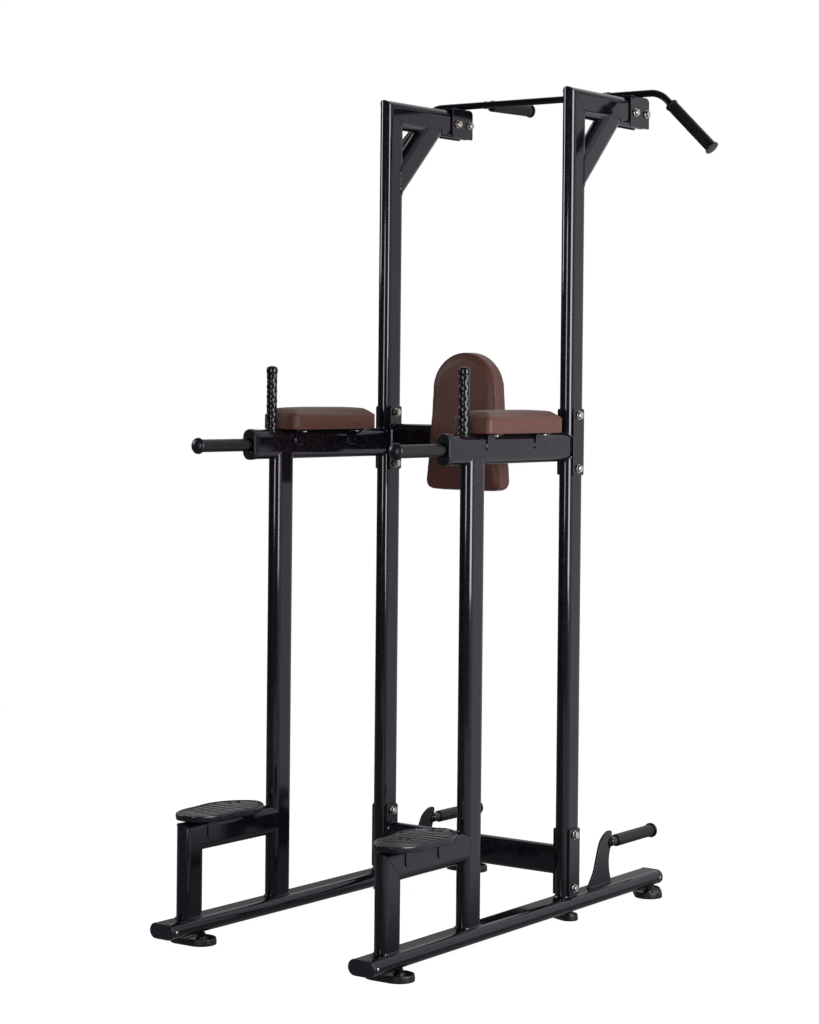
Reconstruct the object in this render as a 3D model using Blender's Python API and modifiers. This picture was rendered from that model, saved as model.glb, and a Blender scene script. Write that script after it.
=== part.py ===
"""Vertical knee raise station: a free-standing tower of flat-oval tube.

Two side frames stand on long rails and are tied by two crossbars.  They
carry arm pads, dip handles, steps, push-up handles and a bent pull-up bar.
Metres, +Z up, +X to the right, the user faces -Y.  The origin is on the
ground under the middle of the object's bounding box.

Lengths along y below are counted from the plane of the two masts; one empty
carries the whole station to the origin.  Inside a side frame x runs across
its tubes, y runs along the frame and z is height.  The frames open slightly
towards the front, so each one hangs from an empty that carries this turn.
"""
import math

import bmesh
import bpy
from mathutils import Matrix, Vector

NAME = "knee_raise_station"
GAP = 0.0003                 # clearance between touching pieces
ROUND = 12                   # facets of the round bars and their sleeves

# flat-oval tube
TUBE_THICK = 0.040
TUBE_WIDE = 0.080
WALL = 0.003
ARC_STEPS = 6                # facets of each round end

MAST_PLANE_Y = 0.2098        # where the plane of the masts stands, seen from the origin

# side frames
SIDE_X = 0.309               # centre plane of a side frame at the mast
FLARE = 0.0129               # turn of each side frame about z, radians
MITRE_BACK = 0.0035          # a coped end stops this far short of a feather edge

# base rail, lying wide side flat
RAIL_BOTTOM = 0.035
RAIL_TOP = RAIL_BOTTOM + TUBE_THICK
RAIL_FRONT = -0.946
RAIL_BACK = 0.466
CAP_FLANGE = 0.006
CAP_PLUG = 0.020

# levelling feet
FOOT_STEM_R = 0.006
FOOT_HOLE_R = 0.0063
FOOT_PAD = (0.134, 0.080)      # length and width of the rubber pad
FOOT_PAD_SMALL = (0.084, 0.050)  # the middle feet
FOOT_PAD_HIGH = 0.018
FOOT_STEM_TOP = 0.060
FOOT_PLACES = {              # x, y of the stem in the side frame
    "front": (0.012, -0.808),
    "middle": (-0.012, 0.036),
    "rear": (0.012, 0.436),
}
FOOT_TURNS = {               # turn of the pad about its stem, degrees
    "left": {"front": 182.0, "middle": 160.0, "rear": 180.0},
    "right": {"front": 182.0, "middle": 160.0, "rear": 126.0},
}

# mast: upright, top arm and brace
MAST_TOP = 2.2845
TOP_ARM_Z = MAST_TOP - TUBE_WIDE / 2
TOP_ARM_END = 0.372
BRACE_OFFSET = 2.0335        # z - y along the axis of the brace
BRACE_THICK = TUBE_THICK - 0.0006

# front upright and arm
FRONT_UPRIGHT_Y = -0.4855
ARM_Z = 1.304
ARM_FRONT = -0.602
ARM_CAP_LONG = 0.020
LUG_SPANS = ((-0.449, -0.415), (-0.216, -0.180))

# step
STEP_POST_Y = -0.844
STEP_Z = 0.285
STRAP_SPANS = ((-0.797, -0.757), (-0.655, -0.613))

# footplate
PLATE_Z0 = 0.3288
PLATE_Z1 = 0.3450
SOLE_PLACES = {"left": (-0.0062, -0.7283, -0.014), "right": (0.0130, -0.7435, 0.062)}  # outward, along, toes outward
SOLE_HALF = (0.0835, 0.1507)
SOLE_TOE_POWER = 2.8         # squareness of the toe and of the heel
SOLE_HEEL_POWER = 1.62
SOLE_WAIST = (0.20, 0.11)    # how far the instep draws in, on the inner and on the outer side of the foot

# crossbars
CROSS_UPPER_Z = 1.3165
CROSS_LOWER_Z = 0.170
CROSS_PLATE_T = 0.006
CROSS_PLATE_HALF_Y = 0.027
CROSS_PLATE_HALF_Z = 0.0905
CROSS_BOLT_Z = 0.073
CROSS_FACE_X = 0.2883        # outer face of the welded end plates
BOLT_R = 0.006
BOLT_HOLE_R = 0.0070

# handles
DIP_Z = 1.303
DIP_BAR_R = 0.013
GRIP_R = 0.017
DIP_END = -0.838
DIP_GRIP_GAP = 0.012         # bare bar between the cap and the grip
VERTICAL_Y = -0.527
VERTICAL_R = 0.0145
VERTICAL_TOP = 1.516
PUSH_Z = 0.1865
PUSH_BAR_R = 0.0125
PUSH_FRONT = 0.2325           # the bar starts inside the rear edge of the fin
PUSH_GRIP_FROM = 0.2623
PUSH_BACK = 0.466

# pads
ARM_PAD_Y = (-0.497, -0.132)
ARM_PAD_HALF_X = 0.060
ARM_PAD_Z = (1.3450, 1.4070)
BACK_PAD_Y = (-0.078, -0.0203)

# pull-up bar
BAR_R = 0.010
BAR_Y = 0.325
BAR_Z = 2.300
BAR_STRAIGHT = 0.360
BAR_BEND_R = 0.074
BAR_BEND = math.radians(44.3)
BAR_LEG = 0.205              # straight leg after the bend, to the end flange
NEUTRAL_Y = 0.530
BRACKET_Y = (0.268, 0.371)
BRACKET_Z = (2.2030, 2.2910)
BRACKET_T = 0.005
BAR_BOLT_YS = (0.294, 0.355)

SIDES = (("left", -1.0), ("right", 1.0))

for old in list(bpy.data.objects):
    bpy.data.objects.remove(old, do_unlink=True)

parts = bpy.data.collections.new(NAME)
cutters = bpy.data.collections.new(NAME + "_cutters")
bpy.context.scene.collection.children.link(parts)
bpy.context.scene.collection.children.link(cutters)


# ---- materials ----------------------------------------------------------
def material(name, colour, roughness, metallic):
    m = bpy.data.materials.new(name)
    m.use_nodes = True
    shader = m.node_tree.nodes["Principled BSDF"]
    shader.inputs["Base Color"].default_value = (*colour, 1.0)
    shader.inputs["Roughness"].default_value = roughness
    shader.inputs["Metallic"].default_value = metallic
    return m


MAT_FRAME = ("frame_coat", (0.030, 0.027, 0.032), 0.30, 0.0)
MAT_PLASTIC = ("black_plastic", (0.012, 0.014, 0.017), 0.45, 0.0)
MAT_RUBBER = ("grip_rubber", (0.030, 0.030, 0.033), 0.70, 0.0)
MAT_STEEL = ("zinc_steel", (0.62, 0.62, 0.63), 0.30, 1.0)
MAT_PAD = ("pad_cover", (0.150, 0.070, 0.055), 0.50, 0.0)


# ---- shape helpers ------------------------------------------------------
def stadium(wide_x, wide_y, steps=ARC_STEPS):
    """Flat-oval outline, counter-clockwise; the short side gives the radius."""
    r = min(wide_x, wide_y) / 2
    run_x, run_y = wide_x / 2 - r, wide_y / 2 - r
    start = 0.0 if wide_y >= wide_x else -math.pi / 2
    points = []
    for half in (0, 1):
        sign = 1 if half == 0 else -1
        for i in range(steps + 1):
            a = start + math.pi * (half + i / steps)
            points.append((sign * run_x + r * math.cos(a), sign * run_y + r * math.sin(a)))
    return points


def rounded_box(x0, x1, y0, y1, radii, steps=4):
    """Rectangle with one radius per corner: lower left, lower right, upper right, upper left."""
    corners = ((x0, y0, 1, 1, 180), (x1, y0, -1, 1, 270), (x1, y1, -1, -1, 0), (x0, y1, 1, -1, 90))
    points = []
    for (cx, cy, sx, sy, first), r in zip(corners, radii):
        if r <= 0:
            points.append((cx, cy))
            continue
        for i in range(steps + 1):
            a = math.radians(first + 90.0 * i / steps)
            points.append((cx + sx * r + r * math.cos(a), cy + sy * r + r * math.sin(a)))
    return points


def prism(loops, depth):
    """A flat outline, with any holes, given a thickness: a closed mesh centred on z = 0."""
    curve = bpy.data.curves.new("outline", "CURVE")
    curve.dimensions = "2D"
    curve.fill_mode = "BOTH"
    curve.extrude = depth / 2
    curve.resolution_u = 1
    curve.render_resolution_u = 0
    for loop in loops:
        spline = curve.splines.new("POLY")
        spline.points.add(len(loop) - 1)
        for point, (x, y) in zip(spline.points, loop):
            point.co = (x, y, 0.0, 1.0)
        spline.use_cyclic_u = True
    return mesh_from_curve(curve)


def mesh_from_curve(curve):
    holder = bpy.data.objects.new("outline", curve)
    bpy.context.scene.collection.objects.link(holder)
    graph = bpy.context.evaluated_depsgraph_get()
    graph.update()
    mesh = bpy.data.meshes.new_from_object(holder.evaluated_get(graph))
    bpy.data.objects.remove(holder, do_unlink=True)
    bm = bmesh.new()
    bm.from_mesh(mesh)
    bmesh.ops.remove_doubles(bm, verts=bm.verts, dist=1e-5)
    bmesh.ops.recalc_face_normals(bm, faces=bm.faces)
    bmesh.ops.dissolve_limit(bm, angle_limit=0.002, verts=bm.verts, edges=bm.edges)
    bm.to_mesh(mesh)
    bm.free()
    return mesh


def rod_mesh(points, radius, sides=4):
    """A round bar along a route of points; sides is the bevel resolution."""
    curve = bpy.data.curves.new("rod", "CURVE")
    curve.dimensions = "3D"
    curve.bevel_depth = radius
    curve.bevel_resolution = sides
    curve.use_fill_caps = True
    curve.resolution_u = 1
    curve.render_resolution_u = 0
    spline = curve.splines.new("POLY")
    spline.points.add(len(points) - 1)
    for point, co in zip(spline.points, points):
        point.co = (*co, 1.0)
    return mesh_from_curve(curve)


def cylinder_mesh(radius, depth, sides=16, radius2=None):
    bm = bmesh.new()
    bmesh.ops.create_cone(bm, cap_ends=True, segments=sides, radius1=radius,
                          radius2=radius if radius2 is None else radius2, depth=depth)
    mesh = bpy.data.meshes.new("cylinder")
    bm.to_mesh(mesh)
    bm.free()
    return mesh


def box_mesh(x0, x1, y0, y1, z0, z1):
    bm = bmesh.new()
    bmesh.ops.create_cube(bm, size=1.0)
    bmesh.ops.scale(bm, vec=(x1 - x0, y1 - y0, z1 - z0), verts=bm.verts)
    bmesh.ops.translate(bm, vec=((x0 + x1) / 2, (y0 + y1) / 2, (z0 + z1) / 2), verts=bm.verts)
    mesh = bpy.data.meshes.new("box")
    bm.to_mesh(mesh)
    bm.free()
    return mesh


def moved(mesh, matrix):
    mesh.transform(matrix)
    mesh.update()
    return mesh


def trimmed(mesh, *planes):
    """Cuts a mesh by planes (point, normal) and leaves the cut end open."""
    bm = bmesh.new()
    bm.from_mesh(mesh)
    for point, normal in planes:
        geom = bm.verts[:] + bm.edges[:] + bm.faces[:]
        bmesh.ops.bisect_plane(bm, geom=geom, dist=1e-7, plane_co=point, plane_no=normal, clear_outer=True)
    bm.to_mesh(mesh)
    bm.free()
    return mesh


def welded(*meshes):
    """Joins meshes whose open ends meet and welds them there."""
    bm = bmesh.new()
    for mesh in meshes:
        bm.from_mesh(mesh)
    bmesh.ops.remove_doubles(bm, verts=bm.verts, dist=2e-5)
    bmesh.ops.recalc_face_normals(bm, faces=bm.faces)
    mesh = bpy.data.meshes.new("welded")
    bm.to_mesh(mesh)
    bm.free()
    return mesh


def screw_mesh(profile, sides=16, closed=False):
    """Turned shape about z: profile of (radius, z) from the top to the bottom, closed for a sleeve."""
    mesh = bpy.data.meshes.new("profile")
    edges = [(i, i + 1) for i in range(len(profile) - 1)]
    if closed:
        edges.append((len(profile) - 1, 0))
    mesh.from_pydata([(r, 0.0, z) for r, z in profile], edges, [])
    holder = bpy.data.objects.new("profile", mesh)
    bpy.context.scene.collection.objects.link(holder)
    screw = holder.modifiers.new("turn", "SCREW")
    screw.steps = screw.render_steps = sides
    screw.use_merge_vertices = True
    screw.merge_threshold = 0.00001
    graph = bpy.context.evaluated_depsgraph_get()
    graph.update()
    turned = bpy.data.meshes.new_from_object(holder.evaluated_get(graph))
    bpy.data.objects.remove(holder, do_unlink=True)
    return turned


ALONG_Y = Matrix.Rotation(math.pi / 2, 4, "X")                       # x -> x, y -> z, z -> -y
ALONG_X = Matrix(((0, 0, 1, 0), (1, 0, 0, 0), (0, 1, 0, 0), (0, 0, 0, 1)))   # x -> y, y -> z, z -> x


def tube(wide_x, wide_y, length, hollow=True):
    loops = [stadium(wide_x, wide_y)]
    if hollow:
        loops.append(stadium(wide_x - 2 * WALL, wide_y - 2 * WALL))
    return prism(loops, length)


def place(mesh, name, look, parent=None, location=(0, 0, 0), rotation=(0, 0, 0)):
    obj = bpy.data.objects.new(name, mesh)
    parts.objects.link(obj)
    obj.parent = parent
    obj.location = location
    obj.rotation_euler = rotation
    mesh.name = name
    mesh.materials.clear()
    mesh.materials.append(material(f"{name}_{look[0]}", *look[1:]))
    mesh.shade_smooth()
    mesh.set_sharp_from_angle(angle=math.radians(35))
    return obj


def helper(mesh, name, parent=None, location=(0, 0, 0), rotation=(0, 0, 0)):
    obj = bpy.data.objects.new(name, mesh)
    cutters.objects.link(obj)
    obj.parent = parent
    obj.location = location
    obj.rotation_euler = rotation
    obj.hide_render = True
    obj.display_type = "WIRE"
    return obj


def boolean(obj, other, operation="DIFFERENCE"):
    mod = obj.modifiers.new(other.name, "BOOLEAN")
    mod.operation = operation
    mod.solver = "EXACT"
    mod.object = other
    return mod


def solid_tube(wide_x, wide_y, length, grow=GAP):
    """The filled outside of a tube, a little larger, to cope its neighbours."""
    return prism([stadium(wide_x + 2 * grow, wide_y + 2 * grow)], length)


# ---- shared meshes ------------------------------------------------------
def evaluated_mesh(obj):
    graph = bpy.context.evaluated_depsgraph_get()
    graph.update()
    return bpy.data.meshes.new_from_object(obj.evaluated_get(graph))


def united(meshes, *cuts):
    """One mesh from several overlapping closed ones, minus the cuts."""
    base = helper(meshes[0], "build_base")
    others = []
    for mesh in meshes[1:]:
        other = helper(mesh, "build_add")
        boolean(base, other, "UNION")
        others.append(other)
    for mesh in cuts:
        other = helper(mesh, "build_cut")
        boolean(base, other, "DIFFERENCE")
        others.append(other)
    result = evaluated_mesh(base)
    for obj in [base, *others]:
        bpy.data.objects.remove(obj, do_unlink=True)
    return result


def foot_mesh(long, wide):
    """Rubber pad with a raised rim, threaded stem and lock nut; origin on the stem's axis at the ground."""
    shift = (long - wide) / 2
    pad = moved(prism([stadium(long, wide, 8)], FOOT_PAD_HIGH), Matrix.Translation((shift, 0, FOOT_PAD_HIGH / 2)))
    dish = moved(prism([stadium(long - 0.012, wide - 0.012, 8)], 0.010), Matrix.Translation((shift, 0, 0.011 + 0.005)))
    boss = moved(cylinder_mesh(0.014, 0.013, 12), Matrix.Translation((0, 0, 0.0135)))
    nut = moved(cylinder_mesh(0.0110, 0.008, 6), Matrix.Translation((0, 0, 0.0238)))
    stem = moved(cylinder_mesh(FOOT_STEM_R, FOOT_STEM_TOP - 0.010, 12),
                 Matrix.Translation((0, 0, (FOOT_STEM_TOP + 0.010) / 2)))
    first = united([pad], dish)
    return united([first, boss, nut, stem])


def cap_mesh():
    """Moulded end cap of a rail: flange with a plug, seated face at y = 0, flange towards -y."""
    steps = ((0.0, 0.0000), (0.0005, -0.0030), (0.0055, -CAP_FLANGE))
    flange = moved(prism([stadium(TUBE_WIDE + 0.001, TUBE_THICK + 0.001)], CAP_FLANGE - GAP),
                   Matrix.Translation((0, -(CAP_FLANGE + GAP) / 2, 0)) @ ALONG_Y)
    inner_x = TUBE_WIDE - 2 * WALL - 2 * GAP
    inner_z = TUBE_THICK - 2 * WALL - 2 * GAP
    plug = moved(prism([stadium(inner_x, inner_z)], CAP_PLUG),
                 Matrix.Translation((0, CAP_PLUG / 2 - 0.002, 0)) @ ALONG_Y)
    return united([flange, plug])


def bolt_mesh(grip_from, grip_to):
    """Hex bolt along x: head above grip_to, nut below grip_from."""
    turn = Matrix.Rotation(math.pi / 2, 4, "Y")
    shank = moved(cylinder_mesh(BOLT_R, grip_to - grip_from + 0.018, 8),
                  Matrix.Translation(((grip_from + grip_to) / 2 - 0.007, 0, 0)) @ turn)
    head = moved(cylinder_mesh(0.0104, 0.008, 6),
                 Matrix.Translation((grip_to + GAP + 0.004, 0, 0)) @ turn)
    nut = moved(cylinder_mesh(0.0104, 0.010, 6),
                Matrix.Translation((grip_from - GAP - 0.005, 0, 0)) @ turn)
    return united([head, shank, nut])


def grip_mesh(length, bar_radius, ends=0.003):
    """Rubber sleeve about z from z = 0 to length, edges rounded, with facets clear of the bar's."""
    r = GRIP_R
    bore = (bar_radius + GAP) / math.cos(math.pi / ROUND)
    profile = [(bore, length), (r - ends, length), (r, length - ends), (r, ends), (r - ends, 0.0), (bore, 0.0)]
    return screw_mesh(profile, ROUND, closed=True)


FOOT = foot_mesh(*FOOT_PAD)
FOOT_SMALL = foot_mesh(*FOOT_PAD_SMALL)
CAP = cap_mesh()


# ---- side frames --------------------------------------------------------
def side_frame(side, sign):
    hub = bpy.data.objects.new(f"side_frame_{side}", None)
    parts.objects.link(hub)
    hub.location = (sign * SIDE_X, 0, 0)
    hub.rotation_euler = (0, 0, sign * FLARE)
    hub.empty_display_size = 0.1
    inward = -sign

    # solids of the neighbours, used to cope the ends of the tubes
    mast_solid = helper(solid_tube(TUBE_THICK, TUBE_WIDE, 2.2), f"mast_envelope_{side}", hub, (0, 0, 1.3))
    upright_solid = helper(solid_tube(TUBE_THICK, TUBE_WIDE, 1.1), f"upright_envelope_{side}", hub,
                           (0, FRONT_UPRIGHT_Y, 0.6))
    arm_solid = helper(moved(solid_tube(TUBE_THICK, TUBE_WIDE, 0.7), ALONG_Y), f"arm_envelope_{side}", hub,
                       (0, -0.35, ARM_Z))

    # base rail with a hole in its floor for each stem
    rail = place(moved(tube(TUBE_WIDE, TUBE_THICK, RAIL_BACK - RAIL_FRONT), ALONG_Y),
                 f"base_rail_{side}", MAT_FRAME, hub,
                 (0, (RAIL_FRONT + RAIL_BACK) / 2, (RAIL_BOTTOM + RAIL_TOP) / 2))
    for where, (fx, fy) in FOOT_PLACES.items():
        hole = helper(cylinder_mesh(FOOT_HOLE_R, 0.020, 12), f"stem_hole_{where}_{side}", hub,
                      (fx, fy, RAIL_BOTTOM))
        boolean(rail, hole)
        shape = FOOT_SMALL if where == "middle" else FOOT
        place(shape.copy(), f"foot_{where}_{side}", MAT_RUBBER, hub, (fx, fy, 0),
              (0, 0, math.radians(FOOT_TURNS[side][where]) - sign * FLARE))

    place(CAP.copy(), f"rail_cap_front_{side}", MAT_PLASTIC, hub, (0, RAIL_FRONT, (RAIL_BOTTOM + RAIL_TOP) / 2))
    place(CAP.copy(), f"rail_cap_rear_{side}", MAT_PLASTIC, hub, (0, RAIL_BACK, (RAIL_BOTTOM + RAIL_TOP) / 2),
          (0, 0, math.pi))

    # mast: upright and top arm meet in a mitre, the brace is coped into both
    foot_z = RAIL_TOP + GAP
    mitre = (Vector((0, 0, TOP_ARM_Z)), Vector((0, 1, 1)).normalized())
    upright = moved(tube(TUBE_THICK, TUBE_WIDE, MAST_TOP + 0.05 - foot_z),
                    Matrix.Translation((0, 0, (MAST_TOP + 0.05 + foot_z) / 2)))
    trimmed(upright, mitre)
    top_arm = moved(tube(TUBE_THICK, TUBE_WIDE, TOP_ARM_END + 0.09),
                    Matrix.Translation((0, (TOP_ARM_END - 0.09) / 2, TOP_ARM_Z)) @ ALONG_Y)
    trimmed(top_arm, (mitre[0], -mitre[1]))
    mast = place(welded(upright, top_arm), f"mast_{side}", MAT_FRAME, hub)

    end_wall = helper(moved(prism([stadium(TUBE_THICK - WALL, TUBE_WIDE - WALL)], 0.004),
                            Matrix.Translation((0, TOP_ARM_END - 0.005, TOP_ARM_Z)) @ ALONG_Y),
                      f"top_arm_end_{side}", hub)
    boolean(mast, end_wall, "UNION")

    lean = Matrix.Rotation(-math.pi / 4, 4, "X")       # z of the prism turns to (0, 1, 1)
    middle = Matrix.Translation((0, 0.10, BRACE_OFFSET + 0.10)) @ lean
    inside_upright = TUBE_WIDE / 2 - TUBE_THICK / 2 + 0.0015
    inside_arm = TOP_ARM_Z - inside_upright
    brace_body = united([moved(prism([stadium(BRACE_THICK, TUBE_WIDE)], 0.60), middle)],
                        box_mesh(-0.1, 0.1, -0.40, inside_upright, 1.6, 2.5),
                        box_mesh(-0.1, 0.1, -0.41, 0.6, inside_arm, 2.52))
    brace = helper(brace_body, f"brace_{side}", hub)
    boolean(mast, brace, "UNION")
    hollow_body = united([moved(prism([stadium(BRACE_THICK - 2 * WALL, TUBE_WIDE - 2 * WALL)], 0.60), middle)],
                         box_mesh(-0.1, 0.1, -0.40, TUBE_WIDE / 2 + 0.0025, 1.6, 2.5),
                         box_mesh(-0.1, 0.1, -0.41, 0.6, TOP_ARM_Z - TUBE_WIDE / 2 - 0.0025, 2.52))
    vent = moved(cylinder_mesh(0.006, 0.12, 12), Matrix.Translation((0, 0.060, BRACE_OFFSET + 0.060)) @ lean)
    brace_hollow = helper(united([hollow_body, vent]), f"brace_hollow_{side}", hub)
    boolean(mast, brace_hollow)

    # front upright, coped to the arm at its top
    front_top = ARM_Z - TUBE_WIDE / 2 + TUBE_THICK / 2 - MITRE_BACK
    front = place(moved(tube(TUBE_THICK, TUBE_WIDE, front_top - foot_z),
                        Matrix.Translation((0, 0, (front_top + foot_z) / 2))),
                  f"front_upright_{side}", MAT_FRAME, hub, (0, FRONT_UPRIGHT_Y, 0))
    boolean(front, arm_solid)

    # arm, coped to the mast, with two straps that hold the pad
    arm_back = -TUBE_WIDE / 2 + TUBE_THICK / 2 - MITRE_BACK
    arm = place(moved(tube(TUBE_THICK, TUBE_WIDE, arm_back - ARM_FRONT), ALONG_Y),
                f"arm_tube_{side}", MAT_FRAME, hub, (0, (arm_back + ARM_FRONT) / 2, ARM_Z))
    boolean(arm, mast_solid)
    for n, (y0, y1) in enumerate(LUG_SPANS):
        for edge in (-1, 1):
            outline = [(0.0195, 1.3020), (0.0240, 1.3020), (0.0240, 1.3400), (0.0480, 1.3400), (0.0480, 1.3445),
                       (0.0195, 1.3445)]
            shape = [(edge * x, z) for x, z in outline]
            lug = helper(moved(prism([shape], y1 - y0), Matrix.Translation((0, (y0 + y1) / 2, 0)) @ ALONG_Y),
                         f"pad_lug_{n}_{'out' if edge * sign > 0 else 'in'}_{side}", hub)
            boolean(arm, lug, "UNION")

    # arm end cap, bored for the dip bar
    cap_front = ARM_FRONT - ARM_CAP_LONG
    sleeve = moved(prism([stadium(TUBE_THICK + 0.003, TUBE_WIDE + 0.003)], ARM_CAP_LONG - GAP),
                   Matrix.Translation((0, (cap_front + ARM_FRONT - GAP) / 2, ARM_Z)) @ ALONG_Y)
    inner = (TUBE_THICK - 2 * WALL - 2 * GAP, TUBE_WIDE - 2 * WALL - 2 * GAP)
    plug = moved(prism([stadium(*inner)], 0.016), Matrix.Translation((0, ARM_FRONT + 0.006, ARM_Z)) @ ALONG_Y)
    bore = moved(cylinder_mesh(DIP_BAR_R + GAP, 0.10, ROUND), Matrix.Translation((0, ARM_FRONT, DIP_Z)) @ ALONG_Y)
    place(united([sleeve, plug], bore), f"arm_end_cap_{side}", MAT_PLASTIC, hub)

    # dip handle: bar with a welded plate inside the arm and a domed end
    dome_r = 0.0217
    plate_y = ARM_FRONT + 0.020
    root = moved(prism([stadium(*inner)], 0.006), Matrix.Translation((0, plate_y, ARM_Z)) @ ALONG_Y)
    bar = moved(cylinder_mesh(DIP_BAR_R, plate_y - DIP_END - 0.012, ROUND),
                Matrix.Translation((0, (plate_y + DIP_END + 0.012) / 2, DIP_Z)) @ ALONG_Y)
    dome_profile = [(0.0, 0.0)]
    dome_long = 0.015
    for i in range(1, 6):
        a = math.radians(90 - 18 * i)
        dome_profile.append((dome_r * math.cos(a), -dome_long * (1 - math.sin(a))))
    dome_profile = [(r, z) for r, z in dome_profile] + [(0.0, -dome_long)]
    dome = moved(screw_mesh(dome_profile, 16), Matrix.Translation((0, DIP_END, DIP_Z)) @ ALONG_Y)
    place(united([bar, root, dome]), f"dip_handle_bar_{side}", MAT_FRAME, hub)
    grip_back = cap_front - DIP_GRIP_GAP
    grip_front = DIP_END + dome_long + GAP
    place(moved(grip_mesh(grip_back - grip_front, DIP_BAR_R), Matrix.Translation((0, grip_back, 0)) @ ALONG_Y),
          f"dip_grip_{side}", MAT_RUBBER, hub, (0, 0, DIP_Z))

    # vertical hand grip, coped over the round top of the arm
    knob = [(0.0, VERTICAL_TOP)]
    for i in range(1, 6):
        a = math.radians(90 - 18 * i)
        knob.append((VERTICAL_R * math.cos(a), VERTICAL_TOP - 0.008 * (1 - math.sin(a))))
    knob += [(VERTICAL_R, ARM_Z + 0.025), (0.0, ARM_Z + 0.025)]
    grip = place(screw_mesh(knob, 16), f"vertical_handle_{side}", MAT_RUBBER, hub, (0, VERTICAL_Y, 0))
    boolean(grip, arm_solid)

    # arm pad
    pad = place(prism([rounded_box(-ARM_PAD_HALF_X, ARM_PAD_HALF_X, *ARM_PAD_Y, (0.020,) * 4, 3)],
                      ARM_PAD_Z[1] - ARM_PAD_Z[0]),
                f"arm_pad_{side}", MAT_PAD, hub, (0, 0, (ARM_PAD_Z[0] + ARM_PAD_Z[1]) / 2))
    soften = pad.modifiers.new("soft edge", "BEVEL")
    soften.width = 0.008
    soften.segments = 2
    soften.limit_method = "ANGLE"
    soften.angle_limit = math.radians(60)

    # step frame: post and tube meet in a mitre
    corner = (Vector((0, STEP_POST_Y, STEP_Z)), Vector((0, 1, 1)).normalized())
    post = moved(tube(TUBE_THICK, TUBE_WIDE, STEP_Z + 0.08 - foot_z),
                 Matrix.Translation((0, STEP_POST_Y, (STEP_Z + 0.08 + foot_z) / 2)))
    trimmed(post, corner)
    step_back = FRONT_UPRIGHT_Y - TUBE_WIDE / 2 + TUBE_THICK / 2 - MITRE_BACK
    step_front = STEP_POST_Y - 0.08
    step_tube = moved(tube(TUBE_THICK, TUBE_WIDE, step_back - step_front),
                      Matrix.Translation((0, (step_back + step_front) / 2, STEP_Z)) @ ALONG_Y)
    trimmed(step_tube, (corner[0], -corner[1]))
    step = place(welded(post, step_tube), f"step_frame_{side}", MAT_FRAME, hub)
    boolean(step, upright_solid)
    for n, (y0, y1) in enumerate(STRAP_SPANS):
        outline = [(-0.0230, 0.2780), (-0.0195, 0.2780), (-0.0195, 0.3247), (0.0195, 0.3247), (0.0195, 0.2780),
                   (0.0230, 0.2780), (0.0230, 0.3285), (-0.0230, 0.3285)]
        strap = helper(moved(prism([outline], y1 - y0), Matrix.Translation((0, (y0 + y1) / 2, 0)) @ ALONG_Y),
                       f"step_strap_{n}_{side}", hub)
        boolean(step, strap, "UNION")

    # footplate: sole outline with a raised rim
    def sole(inset):
        across, along = SOLE_HALF[0] - inset, SOLE_HALF[1] - inset
        count = 40
        points = []
        for i in range(count):
            a = 2 * math.pi * (i + 0.5) / count
            power = 2 / (SOLE_TOE_POWER if math.sin(a) < 0 else SOLE_HEEL_POWER)
            y = math.copysign(abs(math.sin(a)) ** power, math.sin(a))
            x = math.copysign(abs(math.cos(a)) ** power, math.cos(a)) * (1 + 0.235 * y)
            waist = 1 - SOLE_WAIST[x * sign > 0] * math.exp(-((y + 0.075) / 0.38) ** 2)
            points.append((across * x * waist, along * y))
        return points

    tray = prism([sole(0.0)], PLATE_Z1 - PLATE_Z0)
    dish = moved(prism([sole(0.006)], 0.020), Matrix.Translation((0, 0, 0.010 + 0.001)))
    place(united([tray], dish), f"footplate_{side}", MAT_PLASTIC, hub,
          (sign * SOLE_PLACES[side][0], SOLE_PLACES[side][1], (PLATE_Z0 + PLATE_Z1) / 2),
          (0, 0, sign * SOLE_PLACES[side][2]))

    # push-up handle: fin plate, bar and end flange
    fin_outline = ((0.112, foot_z), (0.144, 0.115), (0.159, 0.152), (0.177, 0.193), (0.203, 0.214), (0.226, 0.220),
                   (0.241, 0.212), (0.233, 0.171), (0.226, 0.143), (0.228, 0.110), (0.240, foot_z))
    fin = moved(prism([[(-y, z) for y, z in fin_outline]], 0.006), Matrix.Rotation(math.pi / 2, 4, "X"))
    fin = moved(fin, Matrix.Rotation(-math.pi / 2, 4, "Z"))
    rod = moved(cylinder_mesh(PUSH_BAR_R, PUSH_BACK - PUSH_FRONT, ROUND),
                Matrix.Translation((0, (PUSH_BACK + PUSH_FRONT) / 2, PUSH_Z)) @ ALONG_Y)
    flange = moved(cylinder_mesh(0.021, 0.006, 16), Matrix.Translation((0, PUSH_BACK + 0.001, PUSH_Z)) @ ALONG_Y)
    place(united([fin, rod, flange]), f"push_up_handle_{side}", MAT_FRAME, hub)
    push_from, push_to = PUSH_GRIP_FROM, PUSH_BACK - 0.002 - GAP
    place(moved(grip_mesh(push_to - push_from, PUSH_BAR_R), Matrix.Translation((0, push_to, 0)) @ ALONG_Y),
          f"push_up_grip_{side}", MAT_RUBBER, hub, (0, 0, PUSH_Z))

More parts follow.
